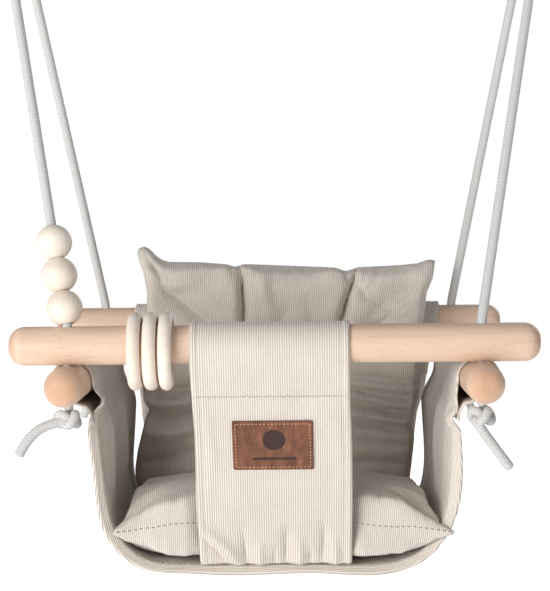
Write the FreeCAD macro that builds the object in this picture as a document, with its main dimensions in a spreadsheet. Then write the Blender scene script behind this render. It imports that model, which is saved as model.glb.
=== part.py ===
"""Toddler bucket swing: four crossing beech dowels hung on four rope legs, a corduroy sling with a back
panel and a crotch strap, two loose cushions, three beads on one rope and three rings on the front bar.

Frame, in millimetres: the origin is the middle of the line that the swing turns about, between the two
steel hang rings. X runs to the sitter's left, which is the viewer's right, Y runs from the front bar to
the rear bar, and Z is up.
"""

import math
import os

import FreeCAD
import Part
import Sketcher
from FreeCAD import Placement, Rotation, Vector

# Driving dimensions: alias, value in millimetres or degrees, meaning.
DIMENSIONS = (
    ("bar_diameter", 30.0, "every dowel"),
    ("bar_length", 410.0, "front and rear bars"),
    ("side_bar_length", 336.0, "left and right side bars"),
    ("bar_end_round", 12.0, "rounding of a dowel's ends"),
    ("bar_gap", 0.1, "air between crossing dowels"),
    ("hole_spacing_wide", 320.0, "rope holes, left to right"),
    ("hole_spacing_deep", 260.0, "rope holes, front to rear"),
    ("rope_hole_diameter", 9.0, "drilled through the dowels"),
    ("rope_diameter", 8.0, "braided rope"),
    ("bar_drop", 540.0, "swing axis down to the front bar's axis"),
    ("bar_middle_y", -8.0, "middle between front and rear bars, so that the swing hangs level"),
    ("hang_spacing", 506.0, "between the two hang rings"),
    ("hang_ring_radius", 17.5, "to the middle of the wire"),
    ("hang_wire_diameter", 5.0, "hang ring"),
    ("hang_loop_radius", 7.4, "rope loop round the wire, to the rope's middle"),
    ("hang_knot_width", 27.0, "knot under the hang ring"),
    ("hang_knot_height", 30.0, "knot under the hang ring"),
    ("hang_knot_drop", 22.0, "swing axis down to the knot's middle"),
    ("stopper_width", 24.0, "knot under a side bar, side to side"),
    ("stopper_depth", 22.0, "knot under a side bar, front to rear"),
    ("stopper_height", 22.0, "knot under a side bar"),
    ("stopper_gap", 0.4, "air between knot and side bar"),
    ("bead_diameter", 28.0, "wooden bead"),
    ("bead_bore", 10.0, "through a bead"),
    ("bead_pitch", 26.5, "from bead to bead along the rope"),
    ("bead_first", 12.9, "from the rope's bend to the lower bead's middle"),
    ("grab_ring_radius", 25.2, "to the middle of the ring's section"),
    ("grab_ring_section", 10.4, "ring's section"),
    ("grab_ring_pitch", 12.0, "from ring to ring along the front bar"),
    ("grab_ring_place", 95.3, "middle ring, left of the centre"),
    ("sleeve_bore_radius", 15.4, "inside of a cloth sleeve round a dowel"),
    ("cloth_layer", 1.2, "one folded layer of cloth"),
    ("sling_half_width", 144.5, "outside of the sling's side panels"),
    ("side_sleeve_reach", 108.0, "side sleeves, forward and back of the middle"),
    ("sling_front", -78.0, "front edge of the sling, from the bars' middle"),
    ("sling_rear", 108.0, "rear edge of the sling, from the bars' middle"),
    ("sling_depth", 193.0, "front bar's axis down to the sling's underside"),
    ("sling_corner_radius", 65.0, "where a side panel turns into the floor"),
    ("back_width_top", 276.0, "back panel at the rear bar"),
    ("back_width_bottom", 216.0, "back panel at the sling's floor"),
    ("strap_width", 121.0, "crotch strap"),
    ("patch_width", 62.0, "leather patch"),
    ("patch_height", 40.0, "leather patch"),
    ("patch_thickness", 1.4, "leather patch"),
    ("patch_drop", 83.0, "front bar's axis down to the patch's middle"),
    ("stitch_length", 2.2, "one stitch round the patch"),
    ("stitch_pitch", 3.6, "from stitch to stitch"),
    ("stitch_inset", 2.4, "from the patch's edge"),
    ("stitch_diameter", 0.7, "sewing thread"),
    ("seat_pad_width", 266.0, "seat cushion"),
    ("seat_pad_depth", 176.0, "seat cushion"),
    ("seat_pad_height", 63.0, "seat cushion"),
    ("seat_pad_gap", 0.7, "air between seat cushion and sling"),
    ("back_pad_width", 262.0, "back cushion"),
    ("back_pad_depth", 54.0, "back cushion"),
    ("back_pad_height", 206.0, "back cushion"),
    ("back_pad_place", 83.0, "back cushion's middle, behind the bars' middle"),
    ("back_pad_drop", 42.0, "front bar's axis down to the back cushion's middle"),
    ("back_pad_shift", 5.0, "the back cushion sits a little to the right"),
    ("pad_cover", 1.4, "cushion cover"),
    ("pad_ease", 0.2, "air between cover and filling"),
    ("pad_batting", 3.0, "wall of the filling, which weighs what loose fibre would"),
)

# Rope routes on the right side, chosen by hand and mirrored to the left. Y counts from the swing axis.
ROPE_LEG_ROUTES = {
    "front": ((251.0, -4.6, -24.0), (160.0, -138.0, -523.0), (160.0, -138.0, -590.0)),
    "rear": ((251.0, 4.6, -24.0), (160.0, 122.0, -523.0), (160.0, 122.0, -590.0)),
}
ROPE_BEND_RADIUS = 24.0
ROPE_TAIL_ROUTES = {
    "front_left": ((-158, -139, -597), (-177, -145, -600), (-191, -149, -611), (-197.5, -151, -624)),
    "front_right": ((153, -140, -598), (159, -144, -607), (169, -148, -621), (180, -154, -636)),
    "rear_left": ((-158, 123, -597), (-171, 133, -604), (-181, 142, -615), (-186, 148, -630)),
    "rear_right": ((158, 124, -597), (169, 136, -603), (177, 148, -612), (182, 156, -626)),
}
SIDES = {"left": -1, "right": 1}
BAR_Y = {
    "front": "(dims.bar_middle_y - dims.hole_spacing_deep / 2)",
    "rear": "(dims.bar_middle_y + dims.hole_spacing_deep / 2)",
}
SIDE_AXIS_HEIGHT = "(-dims.bar_drop - dims.bar_gap - dims.bar_diameter)"
CORNERS = [(end, side) for end in BAR_Y for side in SIDES]
OUT_FOLDER = "parts"
TANGENT_SHARE = 0.45

doc = FreeCAD.newDocument("toddler_swing")


def make_sheet():
    """The driving dimensions, one row each: name, value, meaning."""
    sheet = doc.addObject("Spreadsheet::Sheet", "dims")
    for row, (alias, value, meaning) in enumerate(DIMENSIONS, start=1):
        sheet.set(f"A{row}", alias)
        sheet.set(f"B{row}", str(value))
        sheet.setAlias(f"B{row}", alias)
        sheet.set(f"C{row}", meaning)
    doc.recompute()
    return sheet


dims = make_sheet()


def bind(thing, **expressions):
    """Binds properties to expressions in the dimension sheet's aliases."""
    for name, expression in expressions.items():
        thing.setExpression(name.replace("__", "."), expression)
    return thing


def add_bound(kind, name, **expressions):
    """A new object of the document, with its sizes and place bound to the sheet."""
    return bind(doc.addObject(kind, name), **expressions)


def labelled(thing, label):
    """Marks a sub-part: its label names its file."""
    thing.Label = label
    SUB_PARTS.append(thing)
    return thing


SUB_PARTS = []


def shape_part(label, shape, placement=None):
    """A sub-part whose shape is made with Part's own functions."""
    feature = doc.addObject("Part::Feature", label)
    feature.Shape = shape
    feature.Placement = placement or Placement()
    return labelled(feature, label)


# ---------------------------------------------------------------- dowels


def origin_plane(body, role):
    return next(f for f in body.Origin.OriginFeatures if f.Role == role)


def sketch_on(body, plane, name):
    sketch = body.newObject("Sketcher::SketchObject", name)
    sketch.AttachmentSupport = [(plane, "")]
    sketch.MapMode = "FlatFace"
    return sketch


def add_circle(sketch, name, radius_expression, x_expression=None):
    """A circle on the sketch's X axis, or at its origin, with its sizes bound to the sheet."""
    index = sketch.addGeometry(Part.Circle(Vector(10.0 if x_expression else 0.0, 0, 0), Vector(0, 0, 1), 5.0))
    if x_expression is None:
        sketch.addConstraint(Sketcher.Constraint("Coincident", index, 3, -1, 1))
    else:
        sketch.addConstraint(Sketcher.Constraint("PointOnObject", index, 3, -1))
        place = sketch.addConstraint(Sketcher.Constraint("DistanceX", -1, 1, index, 3, 10.0))
        sketch.renameConstraint(place, name + "_place")
        sketch.setExpression(f"Constraints.{name}_place", x_expression)
    size = sketch.addConstraint(Sketcher.Constraint("Radius", index, 5.0))
    sketch.renameConstraint(size, name + "_radius")
    sketch.setExpression(f"Constraints.{name}_radius", radius_expression)


def make_dowel(label, length, hole_spacing, rotation, place):
    """A dowel along its own X axis with rounded ends and two vertical rope holes."""
    body = doc.addObject("PartDesign::Body", label)
    section = sketch_on(body, origin_plane(body, "YZ_Plane"), label + "_section")
    add_circle(section, "dowel", "dims.bar_diameter / 2")
    pad = body.newObject("PartDesign::Pad", label + "_length")
    pad.Profile = section
    pad.Midplane = True
    bind(pad, Length=length)
    doc.recompute()
    ends = body.newObject("PartDesign::Fillet", label + "_round_ends")
    rims = [f"Edge{i}" for i, e in enumerate(pad.Shape.Edges, start=1) if isinstance(e.Curve, Part.Circle)]
    ends.Base = (pad, rims)
    bind(ends, Radius="dims.bar_end_round")
    holes = sketch_on(body, origin_plane(body, "XY_Plane"), label + "_hole_places")
    add_circle(holes, "left", "dims.rope_hole_diameter / 2", hole_spacing + " / 2")
    add_mirrored_circle(holes, hole_spacing)
    doc.recompute()
    solid_volume = ends.Shape.Volume
    bores = body.newObject("PartDesign::Pocket", label + "_rope_holes")
    bores.Profile = holes
    bores.Type = "ThroughAll"
    bores.Midplane = True
    doc.recompute()
    if not bores.Shape.Volume < solid_volume:
        raise RuntimeError(label + ": the rope holes cut nothing")
    body.Placement.Rotation = rotation
    bind(body, **place)
    return labelled(body, label)


def add_mirrored_circle(sketch, hole_spacing):
    """The second rope hole, as far to the other side."""
    index = sketch.addGeometry(Part.Circle(Vector(-10, 0, 0), Vector(0, 0, 1), 5.0))
    sketch.addConstraint(Sketcher.Constraint("PointOnObject", index, 3, -1))
    place = sketch.addConstraint(Sketcher.Constraint("DistanceX", index, 3, -1, 1, 10.0))
    sketch.renameConstraint(place, "right_place")
    sketch.setExpression("Constraints.right_place", hole_spacing + " / 2")
    sketch.addConstraint(Sketcher.Constraint("Equal", 0, index))


def make_bars():
    for end, y in BAR_Y.items():
        place = {"Placement__Base__y": y, "Placement__Base__z": "-dims.bar_drop"}
        make_dowel(end + "_bar", "dims.bar_length", "dims.hole_spacing_wide", Rotation(), place)
    for side, sign in SIDES.items():
        place = {
            "Placement__Base__x": f"{sign} * dims.hole_spacing_wide / 2",
            "Placement__Base__y": "dims.bar_middle_y",
            "Placement__Base__z": SIDE_AXIS_HEIGHT,
        }
        turned = Rotation(Vector(0, 0, 1), 90)
        make_dowel(side + "_side_bar", "dims.side_bar_length", "dims.hole_spacing_deep", turned, place)


# ---------------------------------------------------------------- ropes


def rounded_path(points, radius=None):
    """Straight runs joined by tangent arcs. With no radius, each arc is as large as its two runs allow."""
    corners = [Vector(*p) for p in points]
    edges, start, radii = [], corners[0], []
    for before, corner, after in zip(corners, corners[1:], corners[2:]):
        back, ahead = (before - corner), (after - corner)
        half_turn = (math.pi - back.getAngle(ahead)) / 2
        tangent = TANGENT_SHARE * min(back.Length, ahead.Length)
        if radius is not None:
            tangent = radius * math.tan(half_turn)
        radii.append(tangent / math.tan(half_turn))
        arc_start = corner + back.normalize() * tangent
        arc_end = corner + ahead.normalize() * tangent
        middle_line = (back + ahead).normalize()
        reach = radii[-1] / math.cos(half_turn) - radii[-1]
        edges.append(Part.LineSegment(start, arc_start).toShape())
        edges.append(Part.Arc(arc_start, corner + middle_line * reach, arc_end).toShape())
        start = arc_end
    edges.append(Part.LineSegment(start, corners[-1]).toShape())
    return Part.Wire(edges), radii


def rope_tube(label, points, radius=None):
    """A round tube of the rope's diameter along the route, checked against section times length."""
    path, radii = rounded_path(points, radius)
    start, ahead = path.Edges[0].Vertexes[0].Point, path.Edges[0].tangentAt(path.Edges[0].FirstParameter)
    rope_radius = dims.rope_diameter / 2
    section = Part.Wire(Part.makeCircle(rope_radius, start, ahead))
    tube = path.makePipeShell([section], True, False)
    expected = math.pi * rope_radius**2 * path.Length
    if abs(tube.Volume - expected) > 0.01 * expected:
        raise RuntimeError(f"{label}: volume {tube.Volume:.0f}, expected {expected:.0f}")
    print(label, "length", round(path.Length, 1), "bend radii", [round(r, 1) for r in radii])
    return shape_part(label, tube)


def make_ropes():
    for end, side in CORNERS:
        corner = f"{end}_{side}"
        leg = [(SIDES[side] * x, y, z) for x, y, z in ROPE_LEG_ROUTES[end]]
        rope_tube("rope_" + corner, leg, ROPE_BEND_RADIUS)
        rope_tube("rope_tail_" + corner, ROPE_TAIL_ROUTES[corner])


def make_stopper_knots():
    """The knots that carry the side bars, one under each rope hole."""
    for end, side in CORNERS:
        label = f"stopper_knot_{end}_{side}"
        knot = add_bound(
            "Part::Ellipsoid",
            label,
            Radius1="dims.stopper_height / 2",
            Radius2="dims.stopper_width / 2",
            Radius3="dims.stopper_depth / 2",
            Placement__Base__x=f"{SIDES[side]} * dims.hole_spacing_wide / 2",
            Placement__Base__y=BAR_Y[end],
            Placement__Base__z="-dims.bar_drop - dims.bar_gap - 1.5 * dims.bar_diameter"
            " - dims.stopper_gap - dims.stopper_height / 2",
        )
        labelled(knot, label)


def make_hangers():
    """A steel ring each side, and the rope loop and knot that turn on the ring's lowest point."""
    for side, sign in SIDES.items():
        ring = add_bound(
            "Part::Torus",
            "hang_ring_" + side,
            Radius1="dims.hang_ring_radius",
            Radius2="dims.hang_wire_diameter / 2",
            Placement__Base__x=f"{sign} * dims.hang_spacing / 2",
            Placement__Base__z="dims.hang_ring_radius",
        )
        ring.Placement.Rotation = Rotation(Vector(1, 0, 0), 90)
        labelled(ring, "hang_ring_" + side)
        loop = add_bound(
            "Part::Torus",
            f"hang_loop_{side}",
            Radius1="dims.hang_loop_radius",
            Radius2="dims.rope_diameter / 2",
        )
        loop.Placement.Rotation = Rotation(Vector(0, 1, 0), 90)
        lump = add_bound(
            "Part::Ellipsoid",
            f"hang_lump_{side}",
            Radius1="dims.hang_knot_height / 2",
            Radius2="dims.hang_knot_width / 2",
            Radius3="dims.hang_knot_width / 2",
            Placement__Base__z="-dims.hang_knot_drop",
        )
        keep_out = add_bound(
            "Part::Cylinder",
            f"hang_eye_{side}",
            Radius="dims.hang_loop_radius - dims.rope_diameter / 2",
            Height="2 * dims.hang_knot_width",
            Placement__Base__x="-dims.hang_knot_width",
        )
        keep_out.Placement.Rotation = Rotation(Vector(0, 1, 0), 90)
        rope_mass = add_bound("Part::Fuse", f"hang_rope_{side}")
        rope_mass.Base, rope_mass.Tool = loop, lump
        place_x = f"{sign} * dims.hang_spacing / 2"
        knot = add_bound("Part::Cut", "hang_knot_" + side, Placement__Base__x=place_x)
        knot.Base, knot.Tool = rope_mass, keep_out
        labelled(knot, "hang_knot_" + side)


# ---------------------------------------------------------------- beads and rings


def make_beads():
    """Three drilled balls in a row on the front left rope."""
    top, bend = (Vector(-x, y, z) for x, y, z in ROPE_LEG_ROUTES["front"][:2])
    along = (top - bend).normalize()
    for index, name in enumerate(("lower", "middle", "upper")):
        ball = add_bound("Part::Sphere", f"bead_ball_{name}", Radius="dims.bead_diameter / 2")
        bore = add_bound(
            "Part::Cylinder",
            f"bead_bore_{name}",
            Radius="dims.bead_bore / 2",
            Height="2 * dims.bead_diameter",
            Placement__Base__z="-dims.bead_diameter",
        )
        bead = doc.addObject("Part::Cut", "bead_" + name)
        bead.Base, bead.Tool = ball, bore
        centre = bend + along * (dims.bead_first + index * dims.bead_pitch)
        bead.Placement = Placement(centre, Rotation(Vector(0, 0, 1), along))
        labelled(bead, "bead_" + name)


def make_grab_rings():
    """Three loose wooden rings that hang on the front bar."""
    for index, name in enumerate(("left", "middle", "right")):
        ring = add_bound(
            "Part::Torus",
            "grab_ring_" + name,
            Radius1="dims.grab_ring_radius",
            Radius2="dims.grab_ring_section / 2",
            Placement__Base__x=f"-dims.grab_ring_place + {index - 1} * dims.grab_ring_pitch",
            Placement__Base__y=BAR_Y["front"],
            Placement__Base__z="-dims.bar_drop + dims.bar_diameter / 2 + 0.3"
            " - dims.grab_ring_radius + dims.grab_ring_section / 2",
        )
        ring.Placement.Rotation = Rotation(Vector(0, 1, 0), 90)
        labelled(ring, "grab_ring_" + name)


# ---------------------------------------------------------------- cloth

SLING_BOTTOM = "(-dims.bar_drop - dims.sling_depth)"
ALONG_Y = Rotation(Vector(1, 0, 0), -90)
ALONG_X = Rotation(Vector(0, 1, 0), 90)


def fused(name, things):
    fuse = doc.addObject("Part::MultiFuse", name)
    fuse.Shapes = things
    fuse.Refine = True
    return fuse


def trough(name, inset, rise, overhang):
    """A solid with upright sides and rounded lower edges, as long as the sling is deep."""
    half, radius = f"(dims.sling_half_width - {inset})", f"(dims.sling_corner_radius - {inset})"
    front = f"dims.bar_middle_y + dims.sling_front - {overhang}"
    depth = f"dims.sling_rear - dims.sling_front + 2 * {overhang}"
    centre_height = f"{SLING_BOTTOM} + dims.sling_corner_radius"
    upright = add_bound(
        "Part::Box",
        name + "_sides",
        Length=f"2 * {half}",
        Width=depth,
        Height=f"{SIDE_AXIS_HEIGHT} - ({centre_height}) + {rise}",
        Placement__Base__x=f"-{half}",
        Placement__Base__y=front,
        Placement__Base__z=centre_height,
    )
    floor = add_bound(
        "Part::Box",
        name + "_floor",
        Length="2 * (dims.sling_half_width - dims.sling_corner_radius)",
        Width=depth,
        Height=f"{radius} + 1",
        Placement__Base__x="-(dims.sling_half_width - dims.sling_corner_radius)",
        Placement__Base__y=front,
        Placement__Base__z=f"{SLING_BOTTOM} + {inset}",
    )
    corners = []
    for side, sign in SIDES.items():
        corner = add_bound(
            "Part::Cylinder",
            f"{name}_corner_{side}",
            Radius=radius,
            Height=depth,
            Placement__Base__x=f"{sign} * (dims.sling_half_width - dims.sling_corner_radius)",
            Placement__Base__y=front,
            Placement__Base__z=centre_height,
        )
        corner.Placement.Rotation = ALONG_Y
        corners.append(corner)
    return fused(name, [upright, floor, *corners])


def round_sleeve(name, rotation, length, base):
    """A tube of cloth, one layer thick, that a dowel lies in."""
    pieces = []
    for suffix, radius in (
        ("_outside", "dims.sleeve_bore_radius + dims.cloth_layer"),
        ("_bore", "dims.sleeve_bore_radius"),
    ):
        place = {f"Placement__Base__{axis}": value for axis, value in base.items()}
        cylinder = add_bound("Part::Cylinder", name + suffix, Radius=radius, Height=length, **place)
        cylinder.Placement.Rotation = rotation
        pieces.append(cylinder)
    sleeve = add_bound("Part::Cut", name)
    sleeve.Base, sleeve.Tool = pieces
    return sleeve


def make_sling():
    """Side sleeves, side panels and floor, cut from one length of cloth."""
    walls = add_bound("Part::Cut", "sling_walls")
    walls.Base = trough("sling_outside", "0", "0", "0")
    walls.Tool = trough("sling_inside", "2 * dims.cloth_layer", "1", "1")
    sleeves = [
        round_sleeve(
            f"sling_sleeve_{side}",
            ALONG_Y,
            "2 * dims.side_sleeve_reach",
            {
                "x": f"{sign} * dims.hole_spacing_wide / 2",
                "y": "dims.bar_middle_y - dims.side_sleeve_reach",
                "z": SIDE_AXIS_HEIGHT,
            },
        )
        for side, sign in SIDES.items()
    ]
    labelled(fused("seat_sling", [walls, *sleeves]), "seat_sling")


def hanging_cloth(label, bar_y, start_y, foot_y, width_top, width_bottom):
    """A sleeve round a cross bar, and the cloth that hangs from it to the sling's edge."""
    sleeve = round_sleeve(
        label + "_sleeve",
        ALONG_X,
        width_top,
        {"x": f"-{width_top} / 2", "y": bar_y, "z": "-dims.bar_drop"},
    )
    fall = f"{foot_y} - ({start_y})"
    sheet = add_bound(
        "Part::Wedge",
        label + "_sheet",
        Xmin=f"-{width_top} / 2",
        Xmax=f"{width_top} / 2",
        X2min=f"-{width_bottom} / 2",
        X2max=f"{width_bottom} / 2",
        Ymin="0",
        Ymax=f"sqrt(({fall}) ^ 2 + dims.sling_depth ^ 2)",
        Zmin="-dims.cloth_layer",
        Zmax="dims.cloth_layer",
        Z2min="-dims.cloth_layer",
        Z2max="dims.cloth_layer",
        Placement__Base__y=start_y,
        Placement__Base__z="-dims.bar_drop",
        Placement__Rotation__Angle=f"atan(({fall}) / dims.sling_depth) - 90 deg",
    )
    sheet.Placement.Rotation.Axis = Vector(1, 0, 0)
    labelled(fused(label, [sleeve, sheet]), label)


def make_hanging_cloths():
    hanging_cloth(
        "crotch_strap",
        BAR_Y["front"],
        f"({BAR_Y['front']} - dims.sleeve_bore_radius - 1.5 * dims.cloth_layer)",
        "(dims.bar_middle_y + dims.sling_front - dims.cloth_layer - 0.1)",
        "dims.strap_width",
        "dims.strap_width",
    )
    hanging_cloth(
        "back_panel",
        BAR_Y["rear"],
        f"({BAR_Y['rear']} - dims.sleeve_bore_radius - 1.5 * dims.cloth_layer)",
        "(dims.bar_middle_y + dims.sling_rear + dims.cloth_layer + 0.1)",
        "dims.back_width_top",
        "dims.back_width_bottom",
    )


# ---------------------------------------------------------------- leather patch


def patch_placement():
    """The patch's own frame: X along the strap's width, Y up the strap, Z out of its face."""
    middle_y = dims.bar_middle_y
    head_y = middle_y - dims.hole_spacing_deep / 2 - dims.sleeve_bore_radius - 1.5 * dims.cloth_layer
    head = Vector(0, head_y, -dims.bar_drop)
    foot_y = middle_y + dims.sling_front - dims.cloth_layer - 0.1
    foot = Vector(0, foot_y, -dims.bar_drop - dims.sling_depth)
    up_strap = (head - foot).normalize()
    outward = Vector(1, 0, 0).cross(up_strap)
    on_strap = head - up_strap * (dims.patch_drop / up_strap.z)
    middle = on_strap + outward * (dims.cloth_layer + 0.02)
    return Placement(middle, Rotation(Vector(1, 0, 0), up_strap, outward, "XYZ"))


def make_patch():
    place = patch_placement()
    patch = add_bound(
        "Part::Box",
        "leather_patch",
        Length="dims.patch_width",
        Width="dims.patch_height",
        Height="dims.patch_thickness",
    )
    corner = Vector(-dims.patch_width / 2, -dims.patch_height / 2, 0)
    patch.Placement = place.multiply(Placement(corner, Rotation()))
    labelled(patch, "leather_patch")
    stitches = []
    for along_x, span, other in (
        (True, dims.patch_width, dims.patch_height),
        (False, dims.patch_height, dims.patch_width),
    ):
        count = int((span - 2 * dims.stitch_inset) / dims.stitch_pitch)
        for step in range(count):
            at = (step - (count - 1) / 2) * dims.stitch_pitch
            for edge in (-1, 1):
                off = edge * (other / 2 - dims.stitch_inset)
                heading = Vector(1, 0, 0) if along_x else Vector(0, 1, 0)
                middle = Vector(at, off, 0) if along_x else Vector(off, at, 0)
                middle.z = dims.patch_thickness + dims.stitch_diameter / 2 + 0.02
                begin = middle - heading * dims.stitch_length / 2
                stitch = Part.makeCylinder(dims.stitch_diameter / 2, dims.stitch_length, begin, heading)
                stitches.append(stitch)
    shape_part("patch_stitches", Part.makeCompound(stitches), place)


# ---------------------------------------------------------------- cushions

# How wide a cushion is, as a share of its full width, at shares of its half height.
PILLOW_PROFILE = ((0.0, 1.0), (0.4, 0.92), (0.75, 0.68), (1.0, 0.36))


def pillow(name, width, depth, height, inset):
    """A pillow of stacked frustums, widest at its mid-height. Axes: width X, depth Y, height Z."""
    slices = []
    levels = [(-up, share) for up, share in reversed(PILLOW_PROFILE)] + list(PILLOW_PROFILE[1:])
    for index, ((low, low_share), (high, high_share)) in enumerate(zip(levels, levels[1:])):
        half_width, half_depth = (f"({size} / 2 - {inset})" for size in (width, depth))
        half_height = f"({height} / 2 - {inset})"
        frustum = add_bound(
            "Part::Wedge",
            f"{name}_slice_{index}",
            Xmin=f"-{low_share} * {half_width}",
            Xmax=f"{low_share} * {half_width}",
            Zmin=f"-{low_share} * {half_depth}",
            Zmax=f"{low_share} * {half_depth}",
            Ymin=f"{low} * {half_height}",
            Ymax=f"{high} * {half_height}",
            X2min=f"-{high_share} * {half_width}",
            X2max=f"{high_share} * {half_width}",
            Z2min=f"-{high_share} * {half_depth}",
            Z2max=f"{high_share} * {half_depth}",
        )
        frustum.Placement.Rotation = Rotation(Vector(1, 0, 0), 90)
        slices.append(frustum)
    return fused(name, slices)


def make_cushion(label, width, depth, height, place):
    """A cover and the filling in it, both hollow."""
    fibre = "dims.pad_cover + dims.pad_ease"
    for part, outer_inset, inner_inset in (
        ("_cover", "0", "dims.pad_cover"),
        ("_filling", f"({fibre})", f"({fibre} + dims.pad_batting)"),
    ):
        layer = doc.addObject("Part::Cut", label + part)
        layer.Base = pillow(label + part + "_outside", width, depth, height, outer_inset)
        layer.Tool = pillow(label + part + "_hollow", width, depth, height, inner_inset)
        layer.Placement = place
        labelled(layer, label + part)


def make_cushions():
    floor = -dims.bar_drop - dims.sling_depth + 2 * dims.cloth_layer
    seat_height = floor + dims.seat_pad_gap + dims.seat_pad_height / 2
    make_cushion(
        "seat_cushion",
        "dims.seat_pad_width",
        "dims.seat_pad_depth",
        "dims.seat_pad_height",
        Placement(Vector(0, dims.bar_middle_y, seat_height), Rotation()),
    )
    make_cushion(
        "back_cushion",
        "dims.back_pad_width",
        "dims.back_pad_height",
        "dims.back_pad_depth",
        Placement(
            Vector(
                dims.back_pad_shift,
                dims.bar_middle_y + dims.back_pad_place,
                -dims.bar_drop - dims.back_pad_drop,
            ),
            Rotation(Vector(1, 0, 0), 90),
        ),
    )


# ---------------------------------------------------------------- check and write


def check_document():
    failed = [o.Name for o in doc.Objects if "Invalid" in o.State or "Error" in o.State]
    if failed:
        raise RuntimeError(f"objects failed to compute: {failed}")
    for thing in SUB_PARTS:
        shape = thing.Shape
        if shape.isNull() or not shape.isValid() or not shape.Solids:
            raise RuntimeError(thing.Label + " has no valid solid")


def write_parts():
    os.makedirs(OUT_FOLDER, exist_ok=True)
    for old in os.listdir(OUT_FOLDER):
        os.remove(os.path.join(OUT_FOLDER, old))
    for thing in SUB_PARTS:
        thing.Shape.exportStep(os.path.join(OUT_FOLDER, thing.Label + ".step"))
    print(len(SUB_PARTS), "sub-parts written")


make_bars()
make_ropes()
make_stopper_knots()
make_hangers()
make_beads()
make_grab_rings()
make_sling()
make_hanging_cloths()
make_patch()
make_cushions()
doc.recompute()
check_document()
write_parts()
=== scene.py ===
"""The look of the toddler bucket swing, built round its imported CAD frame.

Shapes are written in millimetres from the middle of the bar plane (the front and rear bars' axes), with
X to the viewer's right, Y to the rear and Z up. at_frame() turns them into the frame's metres.
"""
import math

import bpy
import numpy as np
from mathutils import Matrix, Vector, noise


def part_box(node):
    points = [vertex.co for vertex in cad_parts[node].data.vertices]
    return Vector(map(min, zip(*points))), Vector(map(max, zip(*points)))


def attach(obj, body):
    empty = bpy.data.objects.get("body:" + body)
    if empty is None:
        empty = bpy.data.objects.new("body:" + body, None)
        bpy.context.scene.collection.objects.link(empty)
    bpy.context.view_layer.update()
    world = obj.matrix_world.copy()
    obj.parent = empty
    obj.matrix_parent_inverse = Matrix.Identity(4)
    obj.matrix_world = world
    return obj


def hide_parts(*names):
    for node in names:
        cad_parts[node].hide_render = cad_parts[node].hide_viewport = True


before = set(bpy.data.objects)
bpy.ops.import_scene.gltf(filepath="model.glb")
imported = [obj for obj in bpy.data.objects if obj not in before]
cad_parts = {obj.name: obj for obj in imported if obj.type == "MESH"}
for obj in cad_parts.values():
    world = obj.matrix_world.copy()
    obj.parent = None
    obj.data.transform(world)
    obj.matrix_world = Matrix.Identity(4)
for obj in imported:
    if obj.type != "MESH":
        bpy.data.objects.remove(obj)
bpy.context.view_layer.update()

# ---------------------------------------------------------------- sizes read from the frame

MM = 0.001


def centre_mm(node):
    low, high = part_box(node)
    return np.array([(a + b) / 2 / MM for a, b in zip(low, high)])


FRONT_BAR = centre_mm("front_bar")
REAR_BAR = centre_mm("rear_bar")
SIDE_BAR = centre_mm("right_side_bar")
PLANE_MIDDLE = np.array([0, (FRONT_BAR[1] + REAR_BAR[1]) / 2, FRONT_BAR[2]])
SIDE_DROP = SIDE_BAR[2] - PLANE_MIDDLE[2]
BAR_RADIUS = (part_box("front_bar")[1][2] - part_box("front_bar")[0][2]) / 2 / MM
# Half the distance between the rope holes, left to right and front to rear.
HOLE_X, HOLE_Y = 160.0, 130.0
ROPE_RADIUS = 4.0
SIDES = {"left": -1, "right": 1}
CORNERS = {"front_left": (-1, -1), "front_right": (1, -1), "rear_left": (-1, 1), "rear_right": (1, 1)}


def at_frame(points):
    """Millimetres from the bar plane's middle, as metres in the frame."""
    return (np.asarray(points, float) + PLANE_MIDDLE) * MM


def mesh_points(mesh):
    """A mesh's vertices in millimetres from the bar plane's middle."""
    flat = np.empty(3 * len(mesh.vertices))
    mesh.vertices.foreach_get("co", flat)
    return flat.reshape(-1, 3) / MM - PLANE_MIDDLE


def add_object(name, data):
    thing = bpy.data.objects.new(name, data)
    bpy.context.scene.collection.objects.link(thing)
    return thing


# ---------------------------------------------------------------- camera

CAMERA_MM = (20.1, -1413.3, 98.6)
CAMERA_PITCH, CAMERA_YAW, CAMERA_ROLL = 0.0476, -0.0149, -0.0104
FOCAL_PIXELS, PICTURE_HEIGHT = 1666.2, 591


def make_camera():
    data = bpy.data.cameras.new("camera")
    data.sensor_width = 36.0
    data.lens = FOCAL_PIXELS * data.sensor_width / PICTURE_HEIGHT
    data.clip_end = 50
    camera = add_object("camera", data)
    flat = math.cos(CAMERA_PITCH)
    ahead = Vector((math.sin(CAMERA_YAW) * flat, math.cos(CAMERA_YAW) * flat, -math.sin(CAMERA_PITCH)))
    right = Vector((math.cos(CAMERA_YAW), -math.sin(CAMERA_YAW), 0))
    up = right.cross(ahead)
    rolled_right = right * math.cos(CAMERA_ROLL) + up * math.sin(CAMERA_ROLL)
    rolled_up = up * math.cos(CAMERA_ROLL) - right * math.sin(CAMERA_ROLL)
    turn = Matrix((rolled_right, rolled_up, -ahead)).transposed()
    camera.matrix_world = Matrix.Translation(Vector(at_frame(CAMERA_MM))) @ turn.to_4x4()
    bpy.context.scene.camera = camera


# ---------------------------------------------------------------- mesh helpers


def new_object(name, points_mm, faces, **attributes):
    """A smooth mesh object from points in millimetres, with one float attribute per keyword."""
    mesh = bpy.data.meshes.new(name)
    mesh.from_pydata(at_frame(points_mm).tolist(), [], [list(f) for f in faces])
    for key, values in attributes.items():
        data = mesh.attributes.new(key, "FLOAT", "POINT").data
        data.foreach_set("value", np.asarray(values, float).ravel())
    mesh.polygons.foreach_set("use_smooth", [True] * len(mesh.polygons))
    mesh.update()
    return add_object(name, mesh)


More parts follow.
